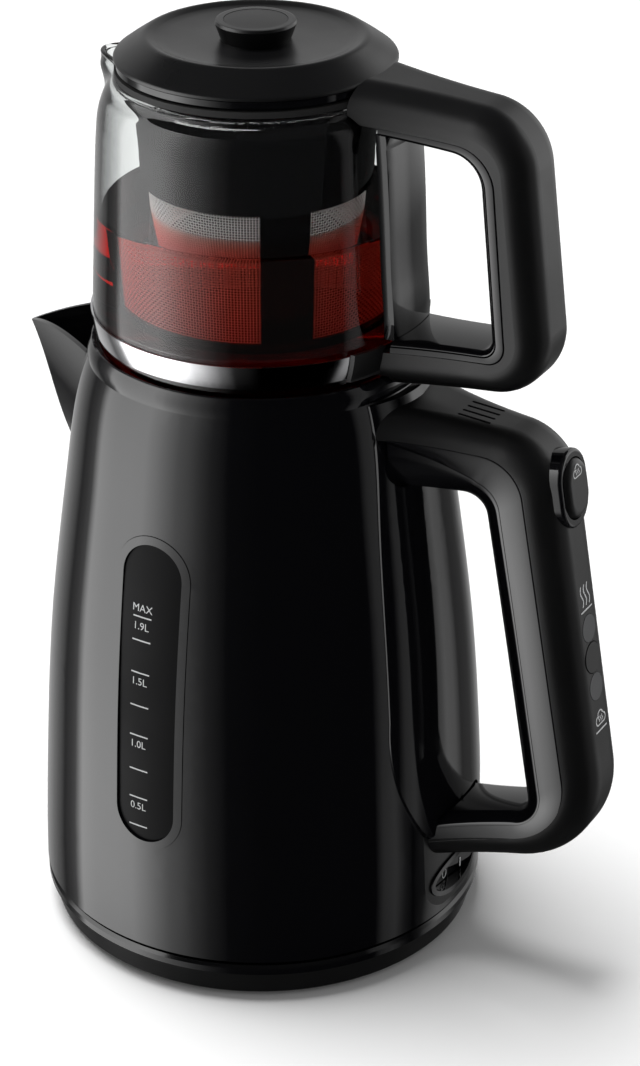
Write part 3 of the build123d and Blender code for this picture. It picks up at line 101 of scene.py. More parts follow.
def moulded(name, colour, rough, spread, grain_mm, depth_mm, swell_mm=0.0, **shader):
    """Moulded plastic: an even colour, a roughness that drifts a little, and the tool's grain as bump."""
    m, tree = material(name)
    where = put(tree, "ShaderNodeTexCoord").outputs["Object"]
    grain = put(tree, "ShaderNodeTexNoise", Vector=where, Scale=1000 / grain_mm, Detail=2.0)
    bump = put(tree, "ShaderNodeBump", Height=grain.outputs["Fac"], Strength=1.0, Distance=depth_mm * MM)
    normal = bump.outputs["Normal"]
    if swell_mm:
        swell = put(tree, "ShaderNodeTexNoise", Vector=where, Scale=1000 / SWELL_MM, Detail=0.0)
        normal = put(
            tree, "ShaderNodeBump", Height=swell.outputs["Fac"], Strength=1.0, Distance=swell_mm * MM,
            Normal=normal).outputs["Normal"]
    surface = put(
        tree, "ShaderNodeBsdfPrincipled", Base_Color=hex_linear(colour),
        Roughness=drifting(tree, where, PLASTIC_PATCH_MM, rough - spread, rough + spread), Normal=normal, **shader)
    close_material(tree, surface.outputs["BSDF"])
    return m


# ABS from a polished tool: deep black and mirror-like, with the faint swell of a thick moulding
polished_abs = moulded("polished_black_abs", "#08080a", 0.06, 0.015, 0.8, 0.0002, swell_mm=0.012, IOR=1.53)
# ABS from a spark-eroded tool: soft black with a fine even grain that catches light along edges
eroded_abs = moulded("spark_eroded_black_abs", "#0e0e0f", 0.38, 0.04, 0.35, 0.010, IOR=1.5)
# ABS from a finely eroded tool: the lid's closer grain, a little shinier
fine_eroded_abs = moulded("fine_grained_black_abs", "#0d0d0e", 0.31, 0.04, 0.3, 0.006, IOR=1.52)
# smoked polycarbonate pane: near-black with a clean shine
smoked_pane = moulded("smoked_polycarbonate", "#050506", 0.04, 0.01, 1.0, 0.0001, IOR=1.58)
# gauge plate behind the water marks: black and matt, with hardly any sheen (a low IOR), so the marks read well
gauge_plate = moulded("matt_black_gauge_plate", "#070708", 0.4, 0.05, 0.4, 0.002, IOR=1.16)
# smoked lamp lenses: a diffusing polycarbonate that looks dark grey while the lamp is off
lamp_lens = moulded("diffusing_polycarbonate", "#3a3b3d", 0.3, 0.03, 0.4, 0.002, IOR=1.58)
# EPDM rubber, dull and even
foot_rubber = moulded("black_epdm_rubber", "#1a1a1a", 0.75, 0.05, 0.5, 0.02, IOR=1.5)
# silicone seals
grey_silicone = moulded("moulded_silicone", "#8d8d88", 0.5, 0.05, 0.5, 0.01, IOR=1.42)
# FR4 board with solder mask
solder_mask = moulded("green_solder_mask", "#0f4a26", 0.35, 0.05, 0.6, 0.004, IOR=1.5)
# pad-printed ink: a thin flat light grey
printed_ink = moulded("pad_printed_ink", "#c9cacb", 0.5, 0.04, 0.2, 0.001, IOR=1.5)


def metal(name, colour, rough, spread, hairline=None):
    """Metal with a drifting polish; hairline is the spacing in mm of rings round the upright axis."""
    m, tree = material(name)
    where = put(tree, "ShaderNodeTexCoord").outputs["Object"]
    extra = {}
    if hairline:
        rings = put(tree, "ShaderNodeMapping", Vector=where, Scale=(4, 4, 1000 / hairline))
        scratch = put(tree, "ShaderNodeTexNoise", Vector=rings.outputs["Vector"], Scale=1.0, Detail=2.0)
        bump = put(
            tree, "ShaderNodeBump", Height=scratch.outputs["Fac"], Strength=1.0, Distance=SCRATCH_DEPTH_MM * MM)
        extra["Normal"] = bump.outputs["Normal"]
    surface = put(
        tree, "ShaderNodeBsdfPrincipled", Base_Color=hex_linear(colour), Metallic=1.0,
        Roughness=drifting(tree, where, METAL_PATCH_MM, rough - spread, rough + spread), **extra)
    close_material(tree, surface.outputs["BSDF"])
    return m


# polished stainless band: a clean mirror softened by hairlines that run round it
polished_steel = metal("polished_stainless_steel", "#d9d9db", 0.09, 0.02, hairline=0.25)
# pressed stainless plate
pressed_steel = metal("pressed_stainless_steel", "#b9b9ba", 0.28, 0.05)
# woven stainless wire, pickled: pale and even; only partly metallic, so that the coarse weave doesn't mirror
pickled_wire = moulded("pickled_stainless_wire", "#e6e6e6", 0.5, 0.05, 0.5, 0.002, Metallic=0.25)
# drawn aluminium tube and cast plate
drawn_aluminium = metal("drawn_aluminium", "#c4c5c7", 0.35, 0.05)
# zinc plated screws
zinc_plate = metal("zinc_plated_steel", "#b0b0ae", 0.3, 0.05)


def see_through(name, tint, ior, absorb=None, density=0.0, edge=None):
    """Clear body that bends light; its shadow stays light, a dye may take colour from what passes, and an edge
    tint greys it where the wall is seen along its length."""
    m, tree = material(name)
    ray = put(tree, "ShaderNodeLightPath")
    colour = hex_linear(tint)
    if edge:
        slant = put(tree, "ShaderNodeLayerWeight", Blend=0.5).outputs["Facing"]
        share = put(tree, "ShaderNodeMapRange", Value=slant, From_Min=0.3, From_Max=0.9).outputs["Result"]
        blend = put(tree, "ShaderNodeMix", {"data_type": "RGBA"}, i0=share, i6=colour, i7=hex_linear(edge))
        colour = blend.outputs[2]
    body = put(
        tree, "ShaderNodeBsdfPrincipled", Base_Color=colour, Roughness=0.0, IOR=ior, Transmission_Weight=1.0)
    open_way = put(tree, "ShaderNodeBsdfTransparent", Color=hex_linear(tint))
    both = put(
        tree, "ShaderNodeMixShader", i0=ray.outputs["Is Shadow Ray"], i1=body.outputs["BSDF"],
        i2=open_way.outputs["BSDF"])
    dye = None
    if absorb:
        dye = put(tree, "ShaderNodeVolumeAbsorption", Color=absorb, Density=density).outputs["Volume"]
    close_material(tree, both.outputs["Shader"], dye)
    return m


# borosilicate glass: colourless and bright, with hardly any green
jug_glass = see_through("borosilicate_glass", "#fbfdfc", 1.47, edge="#b9bbbc")
# black tea: clear red-brown, thin at the edge and nearly black through the middle
brewed_tea = see_through("brewed_black_tea", "#ffffff", 1.333, absorb=(0.94, 0.30, 0.15, 1.0), density=80.0)

FINISH = {
    "gloss_black": polished_abs, "satin_black": eroded_abs, "smoked_window": smoked_pane,
    "black_rubber": foot_rubber, "silicone": grey_silicone, "board_green": solder_mask,
    "chrome_band": polished_steel, "steel_plate": pressed_steel, "steel_mesh": pressed_steel,
    "aluminium": drawn_aluminium, "zinc_steel": zinc_plate, "clear_glass": jug_glass,
}
# nodes whose surface differs from that of their slot
OWN_FINISH = {
    "lid_shell": fine_eroded_abs, "lid_knob": fine_eroded_abs, "knob_cap": eroded_abs, "lamp_lenses": lamp_lens,
    "pot_strap": polished_abs, "button_collar": polished_abs, "rocker": polished_abs,
}


def finish_node(name, m):
    """Gives a node of the frame one material."""
    slots = NODES[name].data.materials
    slots.clear()
    slots.append(m)


for entry in frame["record"]["subparts"]:
    finish_node(entry["node"], OWN_FINISH.get(entry["node"], FINISH[entry["material_slot"]]))


# --------------------------------------------------------------------- pieces
def mesh_piece(name, vertices, faces, m, body, merge=False, smooth=True, crisp=None):
    """A piece from arrays of vertices (mm) and faces, set on a body of the frame.

    Merging closes seams and poles and turns the faces outwards; edges steeper than crisp degrees stay sharp."""
    mesh = bpy.data.meshes.new(name)
    mesh.from_pydata((np.asarray(vertices) * MM).tolist(), [], [list(f) for f in faces])
    if merge:
        work = bmesh.new()
        work.from_mesh(mesh)
        bmesh.ops.remove_doubles(work, verts=work.verts, dist=1e-7)
        bmesh.ops.recalc_face_normals(work, faces=work.faces)
        work.to_mesh(mesh)
        work.free()
    mesh.materials.append(m)
    if smooth:
        mesh.shade_smooth()
    if crisp:
        mesh.set_sharp_from_angle(angle=math.radians(crisp))
    o = bpy.data.objects.new(name, mesh)
    bpy.context.scene.collection.objects.link(o)
    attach(o, body)
    return o


def grid_faces(rows, columns, wrap=False):
    """Quads between neighbouring rows and columns of a grid, joined round its columns if it wraps."""
    i, j = np.meshgrid(np.arange(rows - 1), np.arange(columns if wrap else columns - 1), indexing="ij")
    k = (j + 1) % columns
    here, above = i * columns, (i + 1) * columns
    return np.stack([here + j, here + k, above + k, above + j], -1).reshape(-1, 4)


def gather(shapes):
    """Several (points, faces) as one list of points and one of faces."""
    points, faces, start = [], [], 0
    for p, f in shapes:
        points.append(p)
        faces += [tuple(int(v) + start for v in face) for face in f]
        start += len(p)
    return np.vstack(points), faces


def smoothstep(a, b, x):
    """0 below a, 1 above b, and an S-shaped rise between them."""
    t = np.clip((x - a) / (b - a), 0, 1)
    return t * t * (3 - 2 * t)


def spun(profile, columns, push=None):
    """Surface of revolution: (radius, height) rows turned round the axis.

    push(angle, height) says how far the wall moves out."""
    profile = np.asarray(profile, float)
    angle = np.linspace(0, 2 * np.pi, columns, endpoint=False)
    radius = profile[:, :1] + (push(angle[None, :], profile[:, 1:2]) if push else 0) * (profile[:, :1] > 1)
    points = np.stack(
        [radius * np.cos(angle), radius * np.sin(angle), np.repeat(profile[:, 1:2], columns, 1)], -1)
    return points.reshape(-1, 3), grid_faces(len(profile), columns, wrap=True)


def smooth_through(points, count):
    """Evenly spread points on a Catmull-Rom curve through the given ones."""
    p = np.asarray(points, float)
    p = np.vstack([2 * p[0] - p[1], p, 2 * p[-1] - p[-2]])
    s = np.linspace(0, len(p) - 3 - 1e-9, count)
    k = s.astype(int)
    t = (s - k)[:, None]
    a, b, c, d = p[k], p[k + 1], p[k + 2], p[k + 3]
    return 0.5 * (2 * b + (c - a) * t + (2 * a - 5 * b + 4 * c - d) * t ** 2 + (3 * b - a - 3 * c + d) * t ** 3)


def arc(centre, radius, start, end, count):
    """Points on a circle's arc between two angles in degrees."""
    a = np.radians(np.linspace(start, end, count))
    return np.stack([centre[0] + radius * np.cos(a), centre[1] + radius * np.sin(a)], -1)


def swept(loops):
    """Closed body from closed cross-sections, one per row (rows, points, 3), with a flat cap on both ends."""
    rows, columns = loops.shape[:2]
    faces = [tuple(f) for f in grid_faces(rows, columns, wrap=True).tolist()]
    faces += [tuple(range(columns))[::-1], tuple(range((rows - 1) * columns, rows * columns))]
    return loops.reshape(-1, 3), faces


def rounded(points, radii, run=18, bend=22):
    """Path of straight runs whose inner corners are arcs tangent to both runs, with the same count for each."""
    points = np.asarray(points, float)
    rows, here = [], points[0]
    for corner, after, radius in zip(points[1:-1], points[2:], radii):
        before = (corner - here) / np.linalg.norm(corner - here)
        beyond = (after - corner) / np.linalg.norm(after - corner)
        angle = math.acos(before @ beyond)
        start = corner - before * radius * math.tan(angle / 2)
        side = beyond - before * (before @ beyond)
        side /= np.linalg.norm(side)
        swing = np.linspace(0, angle, bend)[:, None]
        rows += [np.linspace(here, start, run)[:-1],
                 start + side * radius * (1 - np.cos(swing)) + before * radius * np.sin(swing)]
        here = rows[-1][-1]
    return np.vstack(rows + [np.linspace(here, points[-1], run)[1:]])


def handle_ring(gap, parting, half, share, depth):
    """Body between two outlines of a handle, the same on both sides.

    Across one side, share is the part of the way from gap to parting and depth lies below the flare half(x)."""
    at = gap[:, None] + (parting - gap)[:, None] * share[..., None]
    side = half(at[..., 0]) - depth
    left = np.stack([at[..., 0], -side, at[..., 1]], -1)
    right = np.stack([at[..., 0], side, at[..., 1]], -1)
    return swept(np.concatenate([left, right[:, ::-1]], 1))


def flared(narrow, radius, where):
    """Half width of a handle that widens towards the body along a circle's arc."""
    return lambda x: narrow + radius - np.sqrt(radius ** 2 - np.clip(where - x, 0, None) ** 2)


# ---- glass jug: foot, wall, shoulder and neck, with the pour lip drawn out of the neck
WALL = 2.4
FOOT = 231.4
FLOOR_THICK = 3.6
NECK_RADIUS = 50.8
LIP_REACH = 13.4        # how far the pour lip stands out at the rim
LIP_WIDTH = 0.19        # spread of its bell, in radians
LIP_RISE = (317.0, 338.6)
LIP_POWER = 1.3         # above 1 it starts more slowly
OUTER = np.vstack([
    smooth_through([(0, FOOT + 0.6), (30, FOOT + 0.5), (46, FOOT + 0.1), (52.0, FOOT), (56.4, FOOT + 2.2),
                    (58.8, FOOT + 7.0), (59.2, 242.5), (60.5, 251.4), (59.6, 274.0), (58.4, 300.0), (57.3, 318.0),
                    (56.3, 326.0), (54.1, 332.0), (51.6, 335.2), (NECK_RADIUS, 336.8)], 150),
    [(NECK_RADIUS, 337.6)]])
INNER = np.column_stack([np.maximum(OUTER[:, 0] - WALL, 0), OUTER[:, 1]])
# a hair of rise along the floor keeps its rows apart
INNER[:, 1] = np.maximum(INNER[:, 1], FOOT + FLOOR_THICK + 0.02 * np.arange(len(INNER)) / len(INNER))
RIM = arc((NECK_RADIUS - WALL / 2, 337.4), WALL / 2, 0, 180, 9)


def pour_lip(angle, height):
    """The wall moves out by a bell round the spout side (angle pi) that grows towards the rim."""
    return LIP_REACH * np.exp(-((angle - np.pi) / LIP_WIDTH) ** 2) * smoothstep(*LIP_RISE, height) ** LIP_POWER


jug_profile = np.vstack([OUTER, RIM, INNER[::-1]])
verts, faces = spun(jug_profile, 288, pour_lip)
jug = mesh_piece("blown_glass_jug", verts, faces, jug_glass, "teapot", merge=True)
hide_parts("glass_jug")

# ---- tea: fills the jug to its level, its edge drawn up where it meets the glass
TEA_LEVEL = 290.0
TEA_BITE = 0.06         # the tea reaches this far into the glass, so no gap of air shows
wet = INNER[INNER[:, 1] < TEA_LEVEL]
wet = np.column_stack([np.where(wet[:, 0] > 1, wet[:, 0] + TEA_BITE, 0), wet[:, 1] - TEA_BITE])
edge_radius = wet[-1, 0]
surface_line = np.array([(edge_radius - 0.02, TEA_LEVEL + 0.9), (edge_radius - 0.5, TEA_LEVEL + 0.35),
                         (edge_radius - 1.4, TEA_LEVEL + 0.05), (edge_radius - 3, TEA_LEVEL), (40, TEA_LEVEL),
                         (20, TEA_LEVEL), (0, TEA_LEVEL)])
verts, faces = spun(np.vstack([wet, surface_line]), 192)
mesh_piece("black_tea", verts, faces, brewed_tea, "teapot", merge=True)


# ---- strainer frame: collar, upper tube, three ribs and a shallow cup
TUBE = np.array([(38.2, 249.0), (38.3, 251.0), (41.6, 300.0), (43.4, 321.0), (45.6, 338.6)])
TUBE_WALL = 1.8
GRILLE = (252.6, 300.0)
RIB_MIDDLES = (313.7, 193.7, 73.7)   # degrees round the axis
RIB_HALF_ANGLE = 12.5
RIB_OVERLAP = 1.5                    # how far a rib runs into the rings above and below


def tube_radius(height):
    """Outer radius of the strainer at a height."""
    return np.interp(height, TUBE[:, 1], TUBE[:, 0])


def rib(middle):
    """Curved upright bar: the tube's wall between two angles, each level a loop of outer and inner points."""
    height = np.linspace(GRILLE[0] - RIB_OVERLAP, GRILLE[1] + RIB_OVERLAP, 12)
    a = np.radians(middle + np.linspace(-RIB_HALF_ANGLE, RIB_HALF_ANGLE, 22))
    up = np.repeat(height[:, None], len(a), 1)
    outer = tube_radius(height)[:, None]
    front, back = (np.stack([r * np.cos(a), r * np.sin(a), up], -1) for r in (outer, outer - TUBE_WALL))
    return swept(np.concatenate([front, back[:, ::-1]], 1))


upper = np.array([
    (tube_radius(300.0) - 0.4, 300.0), (tube_radius(300.4), 300.4), (43.4, 321.0), (45.6, 338.6), (45.6, 341.0),
    (48.8, 341.0), (49.6, 342.0), (49.6, 344.2), (49.2, 344.6), (44.3, 344.6), (44.0, 344.3), (44.0, 338.6),
    (41.6, 321.0), (39.8, 300.4), (40.1, 300.0), (tube_radius(300.0) - 0.4, 300.0)])
cup = np.array([
    (38.4, 252.6), (38.3, 251.0), (38.2, 249.3), (37.9, 249.0), (0, 249.0), (0, 250.8), (36.4, 250.8),
    (36.6, 252.6), (38.4, 252.6)])
verts, faces = gather([spun(upper, 192), spun(cup, 144)] + [rib(middle) for middle in RIB_MIDDLES])
frame_piece = mesh_piece(
    "strainer_body", verts, faces, polished_abs, "strainer", merge=True, crisp=32)
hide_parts("strainer_frame")


# ---- lid: low crown round a shallow dish
lid_outer = np.vstack([
    [(0.0, 351.0), (20.0, 351.1), (32.0, 351.5)],
    smooth_through([(35.5, 352.0), (37.6, 352.7), (38.9, 352.95), (40.2, 352.6), (42.0, 351.5), (45.2, 349.4),
                    (48.4, 347.1), (49.9, 346.0), (50.4, 345.3)], 40), [(50.4, 344.8), (50.1, 344.6)]])
lid_inner = np.array([
    (48.0, 344.6), (47.9, 345.0), (44.0, 347.4), (39.0, 350.2), (36.0, 349.6), (32.0, 349.1), (20.0, 348.7),
    (0.0, 348.6)])
verts, faces = spun(np.vstack([lid_outer, lid_inner]), 224)
lid_piece = mesh_piece("lid_crown", verts, faces, fine_eroded_abs, "lid", merge=True, crisp=40)
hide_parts("lid_shell")

# ---- kettle handle: glossy facet and rounded liner that follow the parting line of the grip
KETTLE_SIDE = flared(15.7, 134.7, 115.0)
kettle_gap = rounded([(66, 199.6), (98.2, 199.6), (119.9, 72.9), (83.5, 62.65)], [9.5, 6])
kettle_parting = rounded([(66, 219.85), (113.5, 216.8), (139.9, 68.7), (83.5, 52.7)], [17, 27])
# the crease starts as a point at the parting line by the body and settles at 0.42 of the way
CREASE = 0.42
near_body = np.arange(len(kettle_gap)) <= len(kettle_gap) * 0.3
crease = np.where(near_body, np.interp(kettle_gap[:, 0], [66, 78, 93], [0.93, 0.72, CREASE]), CREASE)[:, None]
LINER_POWER = 1.7       # how quickly the liner rounds off from the gap to the crease
round_off = np.linspace(0, 1, 9)
rolled = (1 - round_off) ** LINER_POWER
verts, faces = handle_ring(
    kettle_gap, kettle_parting, KETTLE_SIDE, crease * (0.985 * round_off), 1.3 + 5.7 * rolled)
liner_piece = mesh_piece(
    "rounded_handle_liner", verts, faces, polished_abs, "kettle", merge=True, crisp=35)
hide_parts("handle_liner")
# the facet is hollowed towards the crease, with a fine edge there and a groove at the parting line
to_parting = np.array([0.0, 0.012, 0.03, 0.06, 0.25, 0.5, 0.75, 0.93, 0.955, 0.972, 0.978])
facet_depth = np.append(1.3 * (1 - to_parting[:-2]) ** 1.8 + 0.06, [0.16, 0.45])
facet_depth[0] += 0.4
verts, faces = handle_ring(
    kettle_gap, kettle_parting, KETTLE_SIDE, crease + (1 - crease) * to_parting, facet_depth)
band_piece = mesh_piece(
    "faceted_handle_band", verts, faces, polished_abs, "kettle", merge=True, crisp=35)
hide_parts("handle_band")

# ---- teapot handle: the same make, smaller, with even sections all along
POT_SIDE = flared(14.6, 202.65, 92.0)
pot_gap = rounded([(57.5, 329.17), (93.8, 325.8), (100.8, 256.6), (63.0, 253.99)], [12.5, 4.5])
pot_parting = rounded([(57.5, 333.2), (99.8, 329.8), (107.2, 252.9), (63.0, 249.41)], [16, 7])
verts, faces = handle_ring(pot_gap, pot_parting, POT_SIDE, 0.34 * round_off, 0.5 + 2.6 * rolled)
pot_liner_piece = mesh_piece(
    "rounded_pot_liner", verts, faces, polished_abs, "teapot", merge=True, crisp=35)
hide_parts("pot_liner")
pot_band_share = np.array([0.40, 0.43, 0.45, 0.49, 0.7, 0.87, 0.90, 0.93, 0.95])
pot_band_depth = np.array([1.2, 0.35, 0.2, 0.15, 0.1, 0.06, 0.08, 0.2, 0.9])
verts, faces = handle_ring(pot_gap, pot_parting, POT_SIDE, pot_band_share, pot_band_depth)
pot_band_piece = mesh_piece(
    "polished_pot_band", verts, faces, polished_abs, "teapot", merge=True, crisp=35)
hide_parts("pot_band")


# ---- strainer: steel wire woven round a sleeve
def tube_quads(wires, along, corners, closed):
    """Quads of many equal tubes, one after another, each with its corners in rows along it."""
    rows = along if closed else along - 1
    j, c = np.meshgrid(np.arange(rows), np.arange(corners), indexing="ij")
    here, ahead, beside = j * corners, (j + 1) % along * corners, (c + 1) % corners
    quad = np.stack([here + c, ahead + c, ahead + beside, here + beside], -1)
    if not closed:
        quad = quad[..., [0, 3, 2, 1]]
    return (quad.reshape(1, -1, 4) + (np.arange(wires) * along * corners)[:, None, None]).reshape(-1, 4)


def woven_sleeve(base_radius, top_radius, bottom, top, pitch, wire):
    """Warp wires stand up and weft wires run round; each swings in and out by half a wire at every crossing.

    A wire is a three-sided tube; radius and height of its corners are the wire's own plus half a wire times the
    cosine and sine of the corner, and the sleeve widens evenly from bottom to top."""
    count = int(round(2 * np.pi * base_radius / pitch / 2)) * 2
    rings = int((top - bottom) / pitch)
    corner = np.radians([0, 120, 240])
    half, span = 0.5 * wire, top - bottom

    def sleeve_radius(height):
        return base_radius + (top_radius - base_radius) * (height - bottom) / span

    def upright(r, a, z):
        r, a, z = np.broadcast_arrays(r, a, z)
        return np.stack([r * np.cos(a), r * np.sin(a), z], -1).reshape(-1, 3)

    # weft: rings
    angle = np.linspace(0, 2 * np.pi, count, endpoint=False)
    height = bottom + (np.arange(rings) + 0.5) * span / rings
    swing = half * np.cos(angle * count / 2)[None, :] * np.where(np.arange(rings) % 2, 1, -1)[:, None]
    r = (sleeve_radius(height)[:, None] + swing)[..., None] + half * np.cos(corner)
    weft = upright(r, angle[None, :, None], height[:, None, None] + half * np.sin(corner))
    # warp: upright wires
    rise = np.linspace(bottom, top, rings + 1)
    across = np.arange(count) * 2 * np.pi / count
    swing = half * np.cos((rise - bottom) / span * rings * np.pi)[None, :]
    swing = swing * np.where(np.arange(count) % 2, 1, -1)[:, None]
    r = (sleeve_radius(rise)[None, :] + swing)[..., None] + half * np.cos(corner)
    warp = upright(r, across[:, None, None] + half * np.sin(corner) / base_radius, rise[None, :, None])
    faces = np.vstack([
        tube_quads(rings, count, len(corner), True),
        len(weft) + tube_quads(count, len(rise), len(corner), False)])
    return np.vstack([weft, warp]), faces


# the real mesh is too fine to show, so it is drawn with a pitch of about 1 mm
verts, faces = woven_sleeve(
    base_radius=36.0, top_radius=39.2, bottom=251.2, top=303.8, pitch=0.98, wire=0.44)
weave = mesh_piece("woven_strainer_wire", verts, faces, pickled_wire, "strainer")
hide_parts("strainer_mesh")


# -------------------------------------------------------------- printed marks
def stroke(path, width):
    """A flat band of even width along a path of (across, up) points."""
    path = np.asarray(path, float)
    along = np.gradient(path, axis=0)
    side = np.stack([-along[:, 1], along[:, 0]], -1)
    side *= width / 2 / np.linalg.norm(side, axis=1, keepdims=True)
    return np.stack([path + side, path - side], 1).reshape(-1, 2), grid_faces(len(path), 2)[:, ::-1]


CAPITAL_SHARE = 0.73    # height of a capital in the built-in letters, as a share of their size


def lettering(text, height, centre):
    """Plain letters as flat faces, (across, up) from a centre."""
    curve = bpy.data.curves.new(text, "FONT")
    curve.body, curve.size = text, height / CAPITAL_SHARE
    curve.align_x, curve.align_y = "CENTER", "CENTER"
    curve.resolution_u = 4
    holder = bpy.data.objects.new(text, curve)
    bpy.context.scene.collection.objects.link(holder)
    bpy.context.view_layer.update()
    flat = bpy.data.meshes.new_from_object(holder)
    points = np.empty(len(flat.vertices) * 3)
    flat.vertices.foreach_get("co", points)
    faces = [tuple(p.vertices) for p in flat.polygons]
    bpy.data.objects.remove(holder)
    bpy.data.curves.remove(curve)
    bpy.data.meshes.remove(flat)
    points = points.reshape(-1, 3)[:, :2]
    middle = (points.max(0) + points.min(0)) / 2
    return points - middle + np.asarray(centre, float), faces


def printed(name, shapes, place, body):
    """Several flat shapes of ink as one piece, set in space by place(points)."""
    points, faces = gather(shapes)
    return mesh_piece(name, place(points), faces, printed_ink, body, smooth=False)


def node_points(name):
    """Points of a node of the frame, in mm."""
    mesh = NODES[name].data
    co = np.empty(len(mesh.vertices) * 3)
    mesh.vertices.foreach_get("co", co)
    return co.reshape(-1, 3) / MM


# the pane's line is read from the outermost points of the CAD pane, level by level
pane = node_points("water_window")
pane_r, pane_z = np.hypot(pane[:, 0], pane[:, 1]), pane[:, 2]
LEVEL_STEP = 8          # mm of height per level
level = np.floor((pane_z - pane_z.min()) / LEVEL_STEP).astype(int)
outermost = np.array([np.flatnonzero(level == k)[np.argmax(pane_r[level == k])] for k in np.unique(level)])
PANE_LINE = np.polyfit(pane_z[outermost], pane_r[outermost], 3)
PANE_LIFT = 0.7         # the pane stands this far out from the CAD pane, nearly flush with the wall
PANE_THICK = 2.0
INK_LIFT = 0.12
WINDOW_AZIMUTH = math.radians(-92.0)


def on_window(points, lift=INK_LIFT):
    """Wraps (across, height) onto the pane: across is an arc length, height is z."""
    radius = np.polyval(PANE_LINE, points[:, 1]) + PANE_LIFT + lift
    angle = WINDOW_AZIMUTH + points[:, 0] / radius
    return np.stack([radius * np.cos(angle), radius * np.sin(angle), points[:, 1]], -1)


# pane: a stadium 24.8 mm wide; each level is a loop of front and back points
PANE_HALF, PANE_ENDS = 12.4, (64.1, 182.4)
turned = np.linspace(0, np.pi, 61)
up = sum(PANE_ENDS) / 2 - (PANE_ENDS[1] - PANE_ENDS[0]) / 2 * np.cos(turned)
into_end = np.clip(PANE_HALF - np.minimum(up - PANE_ENDS[0], PANE_ENDS[1] - up), 0, PANE_HALF)
wide = np.maximum(np.sqrt(PANE_HALF ** 2 - into_end ** 2), 0.01)
share = np.linspace(-1, 1, 25)
flat = np.stack([wide[:, None] * share, np.repeat(up[:, None], len(share), 1)], -1).reshape(-1, 2)
shape = (len(up), len(share), 3)
loops = np.concatenate([
    on_window(flat, 0.0).reshape(shape), on_window(flat, -PANE_THICK).reshape(shape)[:, ::-1]], 1)
verts, faces = swept(loops)
pane_piece = mesh_piece("gauge_pane", verts, faces, gauge_plate, "kettle", merge=True, crisp=50)
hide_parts("water_window")

SHIFT = -3.0            # the scale stands left of the pane's middle


def bar(across, up, half_length, width):
    """Level line about a point."""
    return stroke([(across - half_length, up), (across, up), (across + half_length, up)], width)


marks = [bar(SHIFT, z, 4, 0.55) for z in (154.2, 145.0, 132.2, 118.9, 106.7, 92.6, 80.9, 69.1)]
marks += [lettering(text, 3.0, (SHIFT, z)) for text, z in (
    ("MAX", 157.6), ("1.9L", 150.6), ("1.5L", 128.7), ("1.0L", 103.2), ("0.5L", 77.4))]
printed("litre_scale", marks, on_window, "kettle")

# the grip's outer face: a line in x and z from its top end downwards
GRIP_TOP = np.array([124.4, 224.0])
GRIP_RUN = np.array([27.7, -164.1])
ALONG = GRIP_RUN / np.linalg.norm(GRIP_RUN)
OUTWARD = np.array([-ALONG[1], ALONG[0]])
GRIP_EDGE = 11.5        # radius that rounds the grip's sides
GRIP_FLAT = 4.2         # half width of its flat middle
GRIP_INK = 0.05         # ink on the grip stands this far out
BUTTON_INK = 3.45       # and ink on the button, which is itself proud of the grip


def on_grip(height, out):
    """Places (across, up) on the grip's outer face at a height, bent over its rounded sides."""
    def place(points):
        origin = GRIP_TOP + GRIP_RUN * (GRIP_TOP[1] - height) / -GRIP_RUN[1]
        off_flat = np.clip(np.abs(points[:, 0]) - GRIP_FLAT, 0, 11)
        bend = GRIP_EDGE - np.sqrt(GRIP_EDGE ** 2 - off_flat ** 2)
        xz = origin - points[:, 1:2] * ALONG + (out - bend)[:, None] * OUTWARD
        return np.stack([xz[:, 0], points[:, 0], xz[:, 1]], -1)
    return place


def ring(centre, rx, ry, start=0, end=360, width=0.5, count=40):
    """Line round an ellipse, or along a part of it between two angles in degrees."""
    a = np.radians(np.linspace(start, end, count))
    return stroke(np.stack([centre[0] + rx * np.cos(a), centre[1] + ry * np.sin(a)], -1), width)


def wave(across, low, high, swing, width):
    """One S-shaped line of rising heat."""
    t = np.linspace(0, 1, 20)
    return stroke(np.stack([across + swing * np.sin(2 * np.pi * t), low + (high - low) * t], -1), width)


def cloud(size, width, across=0.0, up=0.0):
    """A round steam cloud with three short waves in it."""
    shapes = [ring((-0.55 * size, -0.1 * size), 0.5 * size, 0.48 * size, 50, 290, width),
              ring((0.1 * size, 0.35 * size), 0.62 * size, 0.6 * size, 10, 165, width),
              ring((0.75 * size, -0.1 * size), 0.48 * size, 0.48 * size, -110, 80, width),
              bar(0.1 * size, -0.57 * size, 0.5 * size, width)]
    shapes += [wave(x * size, -0.3 * size, 0.35 * size, 0.09 * size, width * 0.8) for x in (-0.3, 0.1, 0.5)]
    return [(points + np.array([across, up]), faces) for points, faces in shapes]


keep_warm = [wave(x, -3.0, 5.2, 0.8, 0.6) for x in (-2.6, 0, 2.6)]
printed("keep_warm_sign", keep_warm + [bar(0, -4.6, 4.6, 0.6)], on_grip(162.6, GRIP_INK), "kettle")
printed("boiling_sign", cloud(3.4, 0.55) + [bar(0, -4.2, 4.6, 0.6)], on_grip(114.4, GRIP_INK), "kettle")
printed("steam_sign", cloud(2.9, 0.45, -0.8, 2.6), on_grip(209.0, BUTTON_INK), "boil_button")

ROCKER_FACE, ROCKER_PIN, ROCKER_MIDDLE = 81.8, 81.0, 31.4   # x of the face, x of the pin, height
ROCKER_TILT = math.radians(7.0)
ROCKER_INK = 0.3        # ink on the rocker stands this far out


